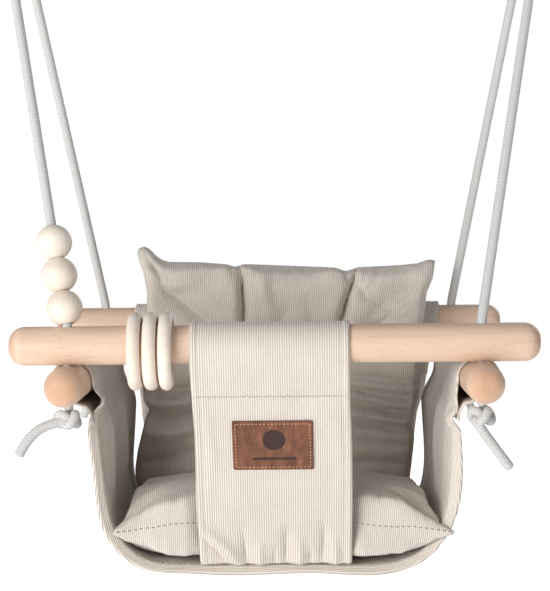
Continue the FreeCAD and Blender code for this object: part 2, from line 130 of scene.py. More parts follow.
def piece(thing, body, slot, material, *replaced):
    """Attaches a new piece to what it rides on, gives it its material and hides the CAD nodes it stands for.
    slot is not used.
    """
    if material is not None:
        thing.data.materials.clear()
        thing.data.materials.append(material)
    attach(thing, body)
    if replaced:
        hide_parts(*replaced)
    return thing


def grid_faces(rows, columns, start=0, flip=False, wrap=False):
    faces = []
    for r in range(rows - 1):
        for c in range(columns if wrap else columns - 1):
            a, b = start + r * columns + c, start + r * columns + (c + 1) % columns
            quad = (a, b, b + columns, a + columns)
            faces.append(quad[::-1] if flip else quad)
    return faces


def unit(vectors):
    length = np.linalg.norm(vectors, axis=-1, keepdims=True)
    return vectors / np.maximum(length, 1e-9)


def grid_normals(grid):
    return unit(np.cross(np.gradient(grid, axis=0), np.gradient(grid, axis=1)))


def border_loop(rows, columns):
    top = [(0, c) for c in range(columns)]
    right = [(r, columns - 1) for r in range(1, rows)]
    bottom = [(rows - 1, c) for c in range(columns - 2, -1, -1)]
    left = [(r, 0) for r in range(rows - 2, 0, -1)]
    return top + right + bottom + left


def shell(name, grid, thickness, **attributes):
    """A closed sheet of cloth about a grid of points, with rounded edges."""
    rows, columns = grid.shape[:2]
    thick = np.broadcast_to(thickness, (rows, columns))[..., None]
    normals = grid_normals(grid)
    faces_up, faces_down = grid + normals * thick / 2, grid - normals * thick / 2
    loop = border_loop(rows, columns)
    inner = [(min(max(r, 1), rows - 2), min(max(c, 1), columns - 2)) for r, c in loop]
    here = np.array([grid[i] for i in loop])
    step = here - np.array([grid[i] for i in inner])
    reach = np.array([thick[i] for i in loop]) / 2
    rim = here + unit(step) * reach
    points = np.vstack([faces_up.reshape(-1, 3), faces_down.reshape(-1, 3), rim])
    count = rows * columns
    faces = grid_faces(rows, columns) + grid_faces(rows, columns, count, flip=True)
    for k, (r, c) in enumerate(loop):
        following = (k + 1) % len(loop)
        r2, c2 = loop[following]
        a, b = r * columns + c, r2 * columns + c2
        p, q = 2 * count + k, 2 * count + following
        faces += [(b, a, p, q), (q, p, a + count, b + count)]
    # Each attribute runs on over the edge at the rate that it has beside it.
    share = reach[:, 0] / np.linalg.norm(step, axis=1)
    doubled = {}
    for key, values in attributes.items():
        edge = np.array([values[i] for i in loop])
        beside = np.array([values[i] for i in inner])
        doubled[key] = np.concatenate([values.ravel(), values.ravel(), edge + (edge - beside) * share])
    return new_object(name, points, faces, **doubled)


def curve_points(route_mm, cyclic=False, spacing=0.9):
    """Evenly spaced points along the NURBS spline of a route."""
    curve = bpy.data.curves.new("route", "CURVE")
    curve.dimensions = "3D"
    curve.resolution_u = 24
    spline = curve.splines.new("NURBS")
    spline.points.add(len(route_mm) - 1)
    for point, place in zip(spline.points, at_frame(route_mm)):
        point.co = (*place, 1.0)
    spline.order_u = 3
    spline.use_endpoint_u = not cyclic
    spline.use_cyclic_u = cyclic
    thing = add_object("route", curve)
    mesh = bpy.data.meshes.new_from_object(thing)
    points = mesh_points(mesh)
    bpy.data.objects.remove(thing)
    bpy.data.meshes.remove(mesh)
    if cyclic:
        points = np.vstack([points, points[:1]])
    return resample(points, spacing)


def path_lengths(path):
    """How far along its path each point is."""
    return np.concatenate([[0], np.cumsum(np.linalg.norm(np.diff(path, axis=0), axis=1))])


def at_places(places, along, values):
    """Each column of values at the places between those along a line."""
    return np.stack([np.interp(places, along, column) for column in values.T], axis=1)


def resample(points, spacing=None, count=None):
    along = path_lengths(points)
    count = count or max(int(round(along[-1] / spacing)) + 1, 4)
    return at_places(np.linspace(0, along[-1], count), along, points)


def sides_along(points):
    """Two directions across a line at each of its points, which do not twist along it."""
    tangents = unit(np.gradient(points, axis=0))
    first = np.cross(tangents[0], [0.3, 0.9, 0.1])
    side = [first / np.linalg.norm(first)]
    for tangent in tangents[1:]:
        turned = side[-1] - tangent * np.dot(side[-1], tangent)
        side.append(turned / np.linalg.norm(turned))
    return np.array(side), np.cross(tangents, side)


BRAID_STRANDS, BRAID_PITCH, BRAID_RELIEF = 8, 22.0, 0.34
ROUNDED_END = 2.6


def braided_tube(name, points, radius=ROPE_RADIUS, around=32, closed=False):
    """A rope along points: its surface has the diamond relief of a braid, and open ends are rounded."""
    side, up = sides_along(points)
    along = path_lengths(points)
    angle = np.linspace(0, 2 * math.pi, around, endpoint=False)
    turn = BRAID_STRANDS * angle[None, :] / (2 * math.pi)
    run = along[:, None] * BRAID_STRANDS / BRAID_PITCH
    one, other = np.cos(2 * math.pi * (turn + run)), np.cos(2 * math.pi * (turn - run))
    relief = np.maximum(one, other) * 0.5 + one * other * 0.5
    size = radius - BRAID_RELIEF * (1 - relief) * 0.5
    if not closed:
        inwards = np.clip((np.minimum(along, along[-1] - along) + 0.3) / ROUNDED_END, 0, 1)
        size = size * np.sqrt(np.clip(1 - (1 - inwards) ** 2, 0.05, 1))[:, None]
    ring = side[:, None, :] * np.cos(angle)[None, :, None] + up[:, None, :] * np.sin(angle)[None, :, None]
    surface = points[:, None, :] + ring * size[..., None]
    rows = len(points)
    vertices = surface.reshape(-1, 3)
    faces = grid_faces(rows, around, wrap=True)
    if closed:
        faces = [tuple(i % (around * (rows - 1)) for i in face) for face in faces]
        vertices = vertices[: around * (rows - 1)]
        braid = relief[:-1]
    else:
        vertices = np.vstack([vertices, points[:1], points[-1:]])
        last = rows * around
        for c in range(around):
            faces.append((last, (c + 1) % around, c))
            faces.append((last + 1, last - around + c, last - around + (c + 1) % around))
        braid = np.concatenate([relief.ravel(), [0, 0]])
    return new_object(name, vertices, faces, braid=braid)


# ---------------------------------------------------------------- materials


class Nodes:
    """A small builder for a tree of shader nodes."""

    def __init__(self, tree):
        self.tree = tree

    def add(self, kind, settings=None, **inputs):
        """A node with its settings and its inputs, each by its name or as i and its number."""
        node = self.tree.nodes.new("ShaderNode" + kind)
        for key, value in (settings or {}).items():
            setattr(node, key, value)
        for key, value in inputs.items():
            number = key[1:]
            socket = int(number) if key[0] == "i" and number.isdigit() else key.replace("_", " ")
            self.feed(node.inputs[socket], value)
        return node

    def feed(self, socket, value):
        if isinstance(value, bpy.types.NodeSocket):
            self.tree.links.new(value, socket)
        else:
            socket.default_value = value

    def attribute(self, name):
        return self.add("Attribute", {"attribute_name": name}).outputs["Fac"]

    def position(self, scale=(1, 1, 1), rotation=(0, 0, 0)):
        coordinates = self.add("TexCoord").outputs["Object"]
        return self.add("Mapping", Vector=coordinates, Rotation=rotation, Scale=scale).outputs[0]

    def maths(self, operation, a, b=0.0, c=0.0):
        return self.add("Math", {"operation": operation}, i0=a, i1=b, i2=c).outputs[0]

    def noise(self, vector, scale, detail=2.0, roughness=0.5):
        node = self.add("TexNoise", Vector=vector, Scale=scale, Detail=detail, Roughness=roughness)
        return node.outputs["Fac"]

    def span(self, value, low, high, to_low=0.0, to_high=1.0):
        node = self.add("MapRange", Value=value, From_Min=low, From_Max=high, To_Min=to_low, To_Max=to_high)
        return node.outputs[0]

    def blend(self, share, first, second):
        node = self.add("Mix", {"data_type": "RGBA"})
        self.feed(node.inputs["Factor"], share)
        colours = [s for s in node.inputs if s.type == "RGBA"]
        self.feed(colours[0], first)
        self.feed(colours[1], second)
        return [s for s in node.outputs if s.type == "RGBA"][0]


class Shader(Nodes):
    """A node material about one principled surface."""

    def __init__(self, name, roughness, **inputs):
        self.material = bpy.data.materials.new(name)
        self.material.use_nodes = True
        super().__init__(self.material.node_tree)
        self.surface = self.tree.nodes["Principled BSDF"]
        self.surface.inputs["Roughness"].default_value = roughness
        for key, value in inputs.items():
            self.surface.inputs[key.replace("_", " ")].default_value = value

    def colour(self, value):
        self.feed(self.surface.inputs["Base Color"], value)

    def bump(self, height, distance, strength=1.0):
        node = self.add("Bump", Height=height, Distance=distance, Strength=strength)
        self.feed(self.surface.inputs["Normal"], node.outputs[0])


def srgb(red, green, blue):
    """A display colour from 0 to 255 as the shader's linear colour."""
    values = [c / 255 for c in (red, green, blue)]
    return (*(v / 12.92 if v <= 0.04045 else ((v + 0.055) / 1.055) ** 2.4 for v in values), 1.0)


WALE_PITCH = 1.8


def corduroy(name, light=(236, 227, 216), dark=(176, 165, 153)):
    """Ribs across the cloth's own "wale" attribute, which is in millimetres; their grooves are painted darker
    than their crests, painted shade.
    """
    cloth = Shader(name, 0.95, Sheen_Weight=0.25, Sheen_Roughness=0.5, Specular_IOR_Level=0.15)
    wobble = cloth.noise(cloth.position(), 90.0, 2.0)
    across = cloth.maths("MULTIPLY_ADD", wobble, 0.5, cloth.attribute("wale"))
    phase = cloth.maths("MULTIPLY", across, 2 * math.pi / WALE_PITCH)
    rib = cloth.maths("MULTIPLY_ADD", cloth.maths("COSINE", phase), 0.5, 0.5)
    crest = cloth.maths("POWER", rib, 0.7)
    pile = cloth.noise(cloth.position(), 1600.0, 3.0, 0.6)
    patches = cloth.noise(cloth.position(), 34.0, 4.0, 0.6)
    # The colour follows the ribs: painted shade in the grooves, lighter crests; the patches and the pile add
    # tone.
    shade = cloth.maths("MULTIPLY_ADD", cloth.span(patches, 0.3, 0.7), 0.16, crest)
    shade = cloth.maths("MULTIPLY_ADD", cloth.span(pile, 0.25, 0.75), 0.24, shade)
    cloth.colour(cloth.blend(cloth.span(shade, 0.05, 1.35), srgb(*dark), srgb(*light)))
    height = cloth.maths("MULTIPLY_ADD", pile, 0.22, crest)
    cloth.bump(height, 0.00045, 0.8)
    return cloth.material


def beech(name, lengthwise):
    """Steamed beech: pinkish tan, short dark flecks along the grain's axis, and darker end grain."""
    wood = Shader(name, 0.48, Specular_IOR_Level=0.35)
    squeeze = [1.0, 1.0, 1.0]
    squeeze[lengthwise] = 0.06
    along = wood.position(squeeze)
    squeeze[lengthwise] = 0.16
    fleck_place = wood.position(squeeze)
    grain = wood.noise(along, 160.0, 6.0, 0.6)
    broad = wood.noise(along, 40.0, 3.0, 0.5)
    flecks = wood.span(wood.noise(fleck_place, 900.0, 2.0, 0.5), 0.66, 0.74)
    base = wood.blend(wood.span(broad, 0.3, 0.7), srgb(214, 182, 158), srgb(233, 207, 184))
    base = wood.blend(wood.span(grain, 0.42, 0.75, 0.0, 0.5), base, srgb(196, 158, 130))
    marked = wood.blend(wood.maths("MULTIPLY", flecks, 0.4), base, srgb(140, 100, 76))
    facing = wood.add("SeparateXYZ", i0=wood.add("TexCoord").outputs["Normal"]).outputs[lengthwise]
    end_grain = wood.span(wood.maths("ABSOLUTE", facing), 0.35, 0.95, 0.0, 0.75)
    wood.colour(wood.blend(end_grain, marked, srgb(196, 150, 118)))
    wood.bump(wood.maths("SUBTRACT", grain, flecks), 0.0001, 0.35)
    return wood.material


def pale_wood(name):
    """Unfinished maple: off-white with the faintest grain."""
    wood = Shader(name, 0.6, Specular_IOR_Level=0.3)
    place = wood.position((0.25, 1.0, 1.0))
    grain = wood.noise(place, 220.0, 5.0, 0.6)
    rings = wood.noise(place, 60.0, 3.0, 0.5)
    base = wood.blend(wood.span(rings, 0.3, 0.7), srgb(230, 215, 199), srgb(241, 230, 219))
    wood.colour(wood.blend(wood.span(grain, 0.5, 0.8, 0.0, 0.35), base, srgb(208, 188, 164)))
    wood.bump(grain, 0.00006, 0.3)
    return wood.material


def rope_fibre(name):
    """White braided cord; the braid itself is in the mesh, and its hollows are also painted darker: painted
    shade.
    """
    rope = Shader(name, 0.8, Sheen_Weight=0.2, Specular_IOR_Level=0.3)
    fibre = rope.noise(rope.position((1, 1, 0.4)), 2600.0, 3.0, 0.6)
    # The braid's hollows are painted darker than its strands: painted shade.
    depth = rope.span(rope.attribute("braid"), -0.6, 0.7)
    tone = rope.maths("MULTIPLY_ADD", fibre, 0.3, depth)
    rope.colour(rope.blend(rope.span(tone, 0.0, 1.2), srgb(140, 139, 137), srgb(222, 221, 219)))
    rope.bump(fibre, 0.00012, 0.5)
    return rope.material


def leather(name, light, dark):
    """Brushed nubuck: brown with soft slanting streaks."""
    skin = Shader(name, 0.62, Specular_IOR_Level=0.3)
    streaks = skin.noise(skin.position((1, 1, 0.35), (0, 0.7, 0)), 150.0, 4.0, 0.6)
    grain = skin.noise(skin.position(), 1500.0, 3.0, 0.6)
    pores = skin.add("TexVoronoi", Vector=skin.position(), Scale=1400.0)
    tone = skin.maths("MULTIPLY_ADD", grain, 0.35, streaks)
    plain = skin.blend(skin.span(tone, 0.45, 0.95), srgb(*dark), srgb(*light))
    marked = skin.blend(skin.attribute("pressed"), plain, srgb(62, 42, 36))
    skin.colour(skin.blend(skin.attribute("edge"), marked, srgb(104, 66, 48)))
    skin.bump(skin.maths("ADD", grain, pores.outputs["Distance"]), 0.00012, 0.5)
    return skin.material


def thread(name, colour):
    sewing = Shader(name, 0.75, Specular_IOR_Level=0.3)
    twist = sewing.add("TexWave", {"bands_direction": "DIAGONAL"}, Vector=sewing.position(), Scale=1500.0)
    shaded = [c * 0.7 for c in colour[:3]]
    sewing.colour(sewing.blend(twist.outputs["Fac"], (*shaded, 1.0), colour))
    return sewing.material


def steel(name):
    metal = Shader(name, 0.22, Metallic=1.0)
    scratches = metal.noise(metal.position(), 900.0, 4.0, 0.7)
    metal.colour(metal.blend(scratches, srgb(176, 176, 178), srgb(222, 222, 224)))
    metal.bump(scratches, 0.00004, 0.3)
    return metal.material


def fibre_fill(name):
    fill = Shader(name, 0.95, Specular_IOR_Level=0.1)
    fluff = fill.noise(fill.position(), 300.0, 5.0, 0.7)
    fill.colour(fill.blend(fluff, srgb(228, 228, 226), srgb(250, 250, 249)))
    fill.bump(fluff, 0.001, 0.6)
    return fill.material


CORDUROY = corduroy("corduroy")
# A lighter copy of the corduroy for the sling's inner side: painted light on the shaded inside.
CORDUROY_INSIDE_PAINTED_LIGHT = corduroy("corduroy_inside_painted_light", (240, 231, 220), (184, 173, 161))
BEECH_ACROSS = beech("beech_across", 0)
BEECH_DEEP = beech("beech_deep", 1)
PALE_WOOD = pale_wood("pale_wood")
ROPE = rope_fibre("rope")
LEATHER = leather("leather", (146, 96, 72), (86, 54, 40))
THREAD = thread("thread", srgb(226, 216, 202))
# Darker thread for the cushions' border seams: painted shade of the valley that the seam lies in.
SEAM_THREAD_PAINTED_SHADE = thread("seam_thread_painted_shade", srgb(158, 146, 132))
PATCH_THREAD = thread("patch_thread", srgb(214, 164, 124))
STEEL = steel("steel")
FILL = fibre_fill("filling")


def cover_nodes():
    """Carried-over CAD pieces keep their shape and get their material here."""
    for nodes, material in (
        (("front_bar", "rear_bar"), BEECH_ACROSS),
        (("left_side_bar", "right_side_bar"), BEECH_DEEP),
        (("bead_lower", "bead_middle", "bead_upper"), PALE_WOOD),
        (("grab_ring_left", "grab_ring_middle", "grab_ring_right"), PALE_WOOD),
        (("hang_ring_left", "hang_ring_right"), STEEL),
    ):
        for node in nodes:
            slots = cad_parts[node].data.materials
            if not slots:
                slots.append(material)
            for index in range(len(slots)):
                slots[index] = material


# ---------------------------------------------------------------- ropes

# The rear right leg from under the hang knot, over the bar's hole edge, down to the stopper knot. The others
# are its mirror images.
LEG_TOP, LEG_HOLE, LEG_END = (251.0, 4.6, 516.0), (HOLE_X, HOLE_Y, 17.0), (HOLE_X, HOLE_Y, -50.0)
BEND_START = 10.0
HANG_X = 253.0
# Lengths in metres.
LEG_LENGTH, TAIL_LENGTH = 0.588, 0.05
KNOT_ROPE = 3.7
TAIL_ROUTES = {
    "front_left": ((-158, -131, -57), (-177, -137, -60), (-191, -141, -71), (-197.5, -143, -84)),
    "front_right": ((153, -132, -58), (159, -136, -67), (169, -140, -81), (180, -146, -96)),
    "rear_left": ((-158, 131, -57), (-171, 141, -64), (-181, 150, -75), (-186, 156, -90)),
    "rear_right": ((158, 132, -57), (169, 144, -63), (177, 156, -72), (182, 164, -86)),
}
STOPPER_LEVEL = -57.1
STOPPER_LEAN = {"front_left": 0.5, "front_right": 2.2, "rear_left": 3.6, "rear_right": 5.1}
STOPPER_SIZE, STOPPER_DEPTH = 3.0, 4.6
EYE_RADIUS, WRAP_RADIUS, WRAP_START, WRAP_PITCH, WRAP_TURNS = 7.4, 8.6, -13.5, -6.6, 3.2


def stopper_knot(corner, side, end):
    """An overhand knot pulled tight under a side bar: a trefoil of rope with its own braid."""
    lean = STOPPER_LEAN[corner]
    turn = np.linspace(0, 2 * math.pi, 24, endpoint=False)
    x = STOPPER_SIZE * (np.sin(turn) + 2 * np.sin(2 * turn))
    y = STOPPER_SIZE * (np.cos(turn) - 2 * np.cos(2 * turn))
    z = STOPPER_DEPTH * -np.sin(3 * turn)
    leant = [x * math.cos(lean) - y * math.sin(lean), x * math.sin(lean) + y * math.cos(lean), z]
    route = np.stack(leant, axis=1) + [side * HOLE_X, end * HOLE_Y, STOPPER_LEVEL]
    points = curve_points(route, cyclic=True, spacing=0.8)
    knot = braided_tube("stopper_" + corner, points, radius=KNOT_ROPE, around=24, closed=True)
    return piece(knot, "swing", "rope", ROPE, "stopper_knot_" + corner)


def hang_knot(side_name, sign):
    """A rope eye round the hang ring and the wraps that bind the two legs under it."""
    turn = np.linspace(0, 2 * math.pi, 20, endpoint=False)
    eye_route = EYE_RADIUS * np.stack([0 * turn, np.sin(turn), np.cos(turn)], axis=1)
    turn = np.linspace(0, 2 * math.pi * WRAP_TURNS, 44)
    drop = WRAP_START + WRAP_PITCH * turn / (2 * math.pi)
    wraps = np.stack([WRAP_RADIUS * np.cos(turn), WRAP_RADIUS * np.sin(turn), drop], axis=1)
    hang_axis = np.array([sign * HANG_X, 0, 0]) - PLANE_MIDDLE
    eye_points = curve_points(eye_route + hang_axis, cyclic=True, spacing=0.8)
    eye = braided_tube("eye", eye_points, around=24, closed=True)
    wrap = braided_tube("wrap", curve_points(wraps + hang_axis), radius=KNOT_ROPE, around=24)
    joined = join("hang_knot_piece_" + side_name, [eye, wrap])
    return piece(joined, "swing", "rope", ROPE, "hang_knot_" + side_name)


def join(name, things):
    """Joins mesh objects that share their attributes."""
    with bpy.context.temp_override(
        active_object=things[0], object=things[0], selected_objects=things, selected_editable_objects=things
    ):
        bpy.ops.object.join()
    things[0].name = name
    things[0].data.name = name
    return things[0]


def rope(kind, corner, route, length, far_end, lay, with_pieces):
    """One stretch of rope on its route, as a braided tube. kind is leg or tail."""
    line = curve_points(route)
    node = {"leg": "rope_", "tail": "rope_tail_"}[kind] + corner
    thing = piece(braided_tube(kind + "_" + corner, line), "swing", "rope", ROPE, node)


def make_ropes():
    hangs = {sign: hang_knot(name, sign) for name, sign in SIDES.items()}
    for corner, (side, end) in CORNERS.items():
        knot = stopper_knot(corner, side, end)
        top, hole, foot = np.array([LEG_TOP, LEG_HOLE, LEG_END]) * [side, end, 1]
        top[1] -= PLANE_MIDDLE[1]
        rise = unit(top - hole)
        route = np.array([top, hole + rise * BEND_START, hole, hole - [0, 0, BEND_START], foot])
        rope("leg", corner, route, LEG_LENGTH, "knot", "taut", [hangs[side], knot])
        rope("tail", corner, np.array(TAIL_ROUTES[corner], float), TAIL_LENGTH, "bare", "hanging", [])


# ---------------------------------------------------------------- cloth shapes


def smoothstep(value, low, high):
    t = np.clip((value - low) / (high - low), 0, 1)
    return t * t * (3 - 2 * t)


def rippled(points_mm, size_mm, seed):
    """Smooth noise between about -1 and 1 at each point, with hollows size_mm apart."""
    flat = np.asarray(points_mm, float).reshape(-1, 3) / size_mm + seed
    values = np.array([noise.noise(Vector(p)) for p in flat])
    return values.reshape(np.asarray(points_mm).shape[:-1])


def along_line(u, v, line):
    """Distance from each (u, v) to a polyline, and where along it from 0 to 1."""
    best, place = np.full(u.shape, 1e9), np.zeros(u.shape)
    line = np.asarray(line, float)
    lengths = np.linalg.norm(np.diff(line, axis=0), axis=1)
    total, done = lengths.sum(), 0.0
    for start, end, length in zip(line[:-1], line[1:], lengths):
        du, dv = end - start
        t = np.clip(((u - start[0]) * du + (v - start[1]) * dv) / length**2, 0, 1)
        gap = np.hypot(u - start[0] - t * du, v - start[1] - t * dv)
        closer = gap < best
        best = np.where(closer, gap, best)
        place = np.where(closer, (done + t * length) / total, place)
        done += length
    return best, place


def creases(u, v, folds):
    """Height of folds drawn on a cloth. A fold below zero is a valley, sharper than a ridge."""
    height = np.zeros(np.asarray(u, float).shape)
    for line, size, width in folds:
        gap, place = along_line(u, v, line)
        fade = np.sin(math.pi * np.clip(place * 0.86 + 0.07, 0, 1)) ** 0.7
        height += size * fade * np.exp(-((gap / width) ** (1.15 if size < 0 else 2)))
    return height


def bell(value, middle, width):
    """1 at the middle, falling off to either side: the section of a groove or a ridge."""
    return np.exp(-(((value - middle) / width) ** 2))


def arc(centre, radius, start_deg, end_deg, count):
    turn = np.radians(np.linspace(start_deg, end_deg, count))
    return np.stack([centre[0] + radius * np.cos(turn), centre[1] + radius * np.sin(turn)], axis=1)


def sleeve_turn(centre, radius, point, turning):
    """Angle in degrees of the circle's point whose tangent passes through point. turning is 1 or -1."""
    away = math.hypot(point[0] - centre[0], point[1] - centre[1])
    towards = math.degrees(math.atan2(point[1] - centre[1], point[0] - centre[0]))
    return towards + turning * math.degrees(math.acos(radius / away))


# ---------------------------------------------------------------- stitches

STITCH_AROUND = 8
CLOTH_STITCH, CLOTH_THREAD, SEAM_PERIOD = 3.0, 0.34, 4.4
# A stitch from end to end: how far along it, as a share of its length, and how thick.
STITCH_PROFILE = ((-0.5, 0.3), (-0.42, 0.75), (-0.25, 1.0), (0.25, 1.0), (0.42, 0.75), (0.5, 0.3))


def stitches(name, seams, length, radius, material, body="swing", slot="corduroy"):
    """Sewing thread: a small closed piece of thread for each stitch, lying half in the cloth.

    Each seam is (its places, the directions there, the cloth's normals there).
    """
    places, directions, normals = (np.vstack([seam[k] for seam in seams]) for k in range(3))
    vertices, faces = [], []
    for place, ahead, normal in zip(places, unit(directions), unit(normals)):
        side = np.cross(ahead, normal)
        start = len(vertices)
        for along, size in STITCH_PROFILE:
            dip = -radius * 1.1 * (2 * abs(along)) ** 3
            for k in range(STITCH_AROUND):
                turn = 2 * math.pi * k / STITCH_AROUND
                offset = side * math.cos(turn) + normal * math.sin(turn)
                vertices.append(place + ahead * along * length + normal * dip + offset * radius * size)
        faces += grid_faces(len(STITCH_PROFILE), STITCH_AROUND, start, wrap=True)
        faces.append(tuple(start + k for k in reversed(range(STITCH_AROUND))))
        faces.append(tuple(len(vertices) - STITCH_AROUND + k for k in range(STITCH_AROUND)))
    return piece(new_object(name, vertices, faces), body, slot, material)


def seam(line, normals, period, first, last, offset=0.0):
    """Evenly spaced stitches on a line of cloth, which leave first and last millimetres at its ends."""
    along = path_lengths(line)
    wanted = np.arange(first, along[-1] - last, period)
    places, normal = at_places(wanted, along, line), unit(at_places(wanted, along, normals))
    return places + normal * offset, np.gradient(places, axis=0), normal


def cloth_seam(surface, index):
    """A seam along one row of a surface grid, or along a column as (slice(None), column)."""
    first, last = SEAM_PERIOD * 0.7, SEAM_PERIOD * 0.5
    return seam(surface[index], grid_normals(surface)[index], SEAM_PERIOD, first, last, offset=0.05)


def seams_below_bar(surface, path, top, drops):
    """The seams of a sleeve, across a hanging cloth's outer side, at each drop below the bar's middle."""
    outer = np.where(np.arange(len(path)) > top, path[:, 1], 1e3)
    return [cloth_seam(surface, int(np.argmin(np.abs(outer + drop)))) for drop in drops]


# ---------------------------------------------------------------- strap

STRAP_CLOTH = 2.2
SLEEVE_RADIUS = BAR_RADIUS + 0.5 + STRAP_CLOTH / 2
STRAP_FOOT = (-81.8, -181.5)
STRAP_BEND = (-84.5, -174.0)
STRAP_LAP = ((-80.6, -180.8), (-76.0, -181.2), (-64.0, -181.2))
STRAP_LEFT, STRAP_RIGHT = -63.2, 57.0
STRAP_SEAM_END = -43.0
STRAP_SEAMS = (35.4, 41.4)
SEAM_ALLOWANCE = 9.0

# Each fold of a cloth is (its line, its height, its half width), here seen from the front, (x, z).
STRAP_FOLDS = (
    (((-62, -148), (-44, -164), (-22, -190)), 2.6, 4.6),
    (((-62, -158), (-50, -170), (-36, -190)), -3.0, 3.6),
    (((-24, -192), (-27, -154)), -2.8, 3.2),
    (((-14, -192), (-14, -164)), 1.6, 3.6),
    (((-4, -192), (-2, -168)), -1.8, 2.4),
    (((6, -192), (8, -150)), -3.0, 3.4),
    (((18, -192), (18, -160)), 1.7, 3.6),
    (((27, -192), (26, -170)), -1.6, 2.4),
    (((36, -192), (38, -148)), -3.0, 3.4),
    (((47, -192), (46, -160)), 1.7, 3.4),
    (((-55, -44), (-50, -90), (-56, -140)), 0.6, 5.0),
    (((48, -48), (52, -100), (47, -150)), 0.6, 6.0),
    (((-48, -112), (-20, -122), (20, -116)), 0.5, 7.0),
)


def sleeve_path(foot, seam_end, cloth, below, spacing):
    """Side view of a cloth on the front bar, (y, z): from its seam's rear side, round the bar and down."""
    centre = (-HOLE_Y, 0.0)
    front_turn = sleeve_turn(centre, SLEEVE_RADIUS, foot, -1) % 360
    front = arc(centre, SLEEVE_RADIUS, front_turn, front_turn, 1)[0]
    slope = (foot[0] - front[0]) / (foot[1] - front[1])
    end = (front[0] + slope * (seam_end - front[1]) + cloth + 0.3, seam_end)
    rear_turn = sleeve_turn(centre, SLEEVE_RADIUS, end, 1)
    round_bar = arc(centre, SLEEVE_RADIUS, rear_turn, front_turn, 40)
    allowance = (end[0] - slope * SEAM_ALLOWANCE, seam_end - SEAM_ALLOWANCE)
    return resample(np.vstack([[allowance, end], round_bar, below]), spacing)


def hanging_grid(path, x, z):
    """A cloth's grid from its side view and each point's x and z."""
    return np.stack([x, np.broadcast_to(path[:, :1], x.shape), np.broadcast_to(z, x.shape)], axis=-1)


def make_strap():
    below = rounded([STRAP_BEND, *STRAP_LAP])
    path = sleeve_path(STRAP_FOOT, STRAP_SEAM_END, STRAP_CLOTH, below, spacing=0.9)
    along = path_lengths(path)
    number = np.arange(len(path))
    top = int(np.argmax(path[:, 1]))
    front = (number > top)[:, None]
    z = path[:, 1:]
    fall = smoothstep(-z, 0, 184)
    left = STRAP_LEFT + 2.2 * fall + 0.7 * np.sin(along / 23.0)[:, None] * front
    right = STRAP_RIGHT + 2.4 * fall + 0.6 * np.sin(along / 31.0 + 1)[:, None] * front
    x = left + (right - left) * np.linspace(0, 1, 96)[None, :]
    grid = hanging_grid(path, x, z)
    outward = grid_normals(grid)
    down = -grid[..., 2]
    # The sleeve's cloth swells over its seams, each seam lies in a groove, and the lower part is folded.
    height = front * (
        1.7 * smoothstep(down, -4, 26) * (1 - smoothstep(down, 38.4, 39.4))
        - 0.7 * bell(down, STRAP_SEAMS[0], 1.0)
        - 0.8 * bell(down, STRAP_SEAMS[1] + 0.4, 1.1)
        - 1.3 * bell(down, 39.7, 0.9)
        + 1.5 * creases(x, -down, STRAP_FOLDS)
    )
    edge = np.minimum(x - left, right - x)
    height -= 0.5 * bell(edge, 4.6, 0.9)
    height += 0.45 * rippled(grid, 34.0, 3.1) * smoothstep(down, 8, 30)
    # The lap under the seat cushion stays flat.
    height *= 1 - smoothstep(number, len(path) - 26, len(path) - 12)[:, None]
    grid = grid + outward * height[..., None]
    thickness = STRAP_CLOTH + 0.7 * smoothstep(4.2 - edge, 0, 0.8)
    cloth = shell("crotch_strap_cloth", grid, thickness, wale=x)
    piece(cloth, "swing", "corduroy", CORDUROY, "crotch_strap")
    surface = grid + outward * STRAP_CLOTH / 2
    seams = seams_below_bar(surface, path, top, STRAP_SEAMS)
    sewn = stitches("strap_stitches", seams, CLOTH_STITCH, CLOTH_THREAD, THREAD)
    return surface, path, top


# ---------------------------------------------------------------- leather patch

PATCH_SIZE, PATCH_CORNER, PATCH_THICK = (63.0, 42.5), 1.7, 1.5
PATCH_MIDDLE = (-2.0, -79.6)
PATCH_COLUMNS, PATCH_ROWS = 156, 100
PATCH_SEAM, PATCH_SEAM_PERIOD = 2.4, 3.0
# The pressed marks on it, from its middle: a disc and a bar below it.
DISC_MIDDLE, DISC_RADIUS = (1.0, 5.0), 8.6
MARK_BAR_DROP, MARK_BAR_HALF = 11.4, (17.0, 0.9)


def patch_frame(surface, path, top):
    """Place and directions of the patch on the strap's front."""
    rows = np.where((np.arange(len(path)) > top) & (np.abs(path[:, 1] - PATCH_MIDDLE[1]) < 22))[0]
    column = surface[rows].mean(axis=1)
    down = unit(column[-1] - column[0])
    across = np.array([1.0, 0, 0])
    out = unit(np.cross(across, -down))
    out = out if out[1] < 0 else -out
    # The patch's rear lies on the highest point of the cloth under it.
    under = surface[rows][:, 14:-14].reshape(-1, 3)
    base = np.array([PATCH_MIDDLE[0], column[len(rows) // 2][1], PATCH_MIDDLE[1]])
    lift = ((under - base) @ out).max() + 0.12
    return base + out * lift, across, -down, out


def patch_grid(half_w, half_h):
    """The patch's grid from its middle: a square one bent so that its corners are rounded."""
    u, v = np.meshgrid(np.linspace(-1, 1, PATCH_COLUMNS), np.linspace(-1, 1, PATCH_ROWS))
    reach_u, reach_v = half_w - PATCH_CORNER, half_h - PATCH_CORNER
    a, b = u * half_w, v * half_h
    over_a, over_b = np.maximum(np.abs(a) - reach_u, 0), np.maximum(np.abs(b) - reach_v, 0)
    both = np.maximum(np.hypot(over_a, over_b), 1e-6)
    pull = np.where((over_a > 0) & (over_b > 0), np.maximum(over_a, over_b) / both, 1.0)
    a = np.sign(a) * np.where(over_a > 0, reach_u + over_a * pull, np.abs(a))
    b = np.sign(b) * np.where(over_b > 0, reach_v + over_b * pull, np.abs(b))
    return a, b


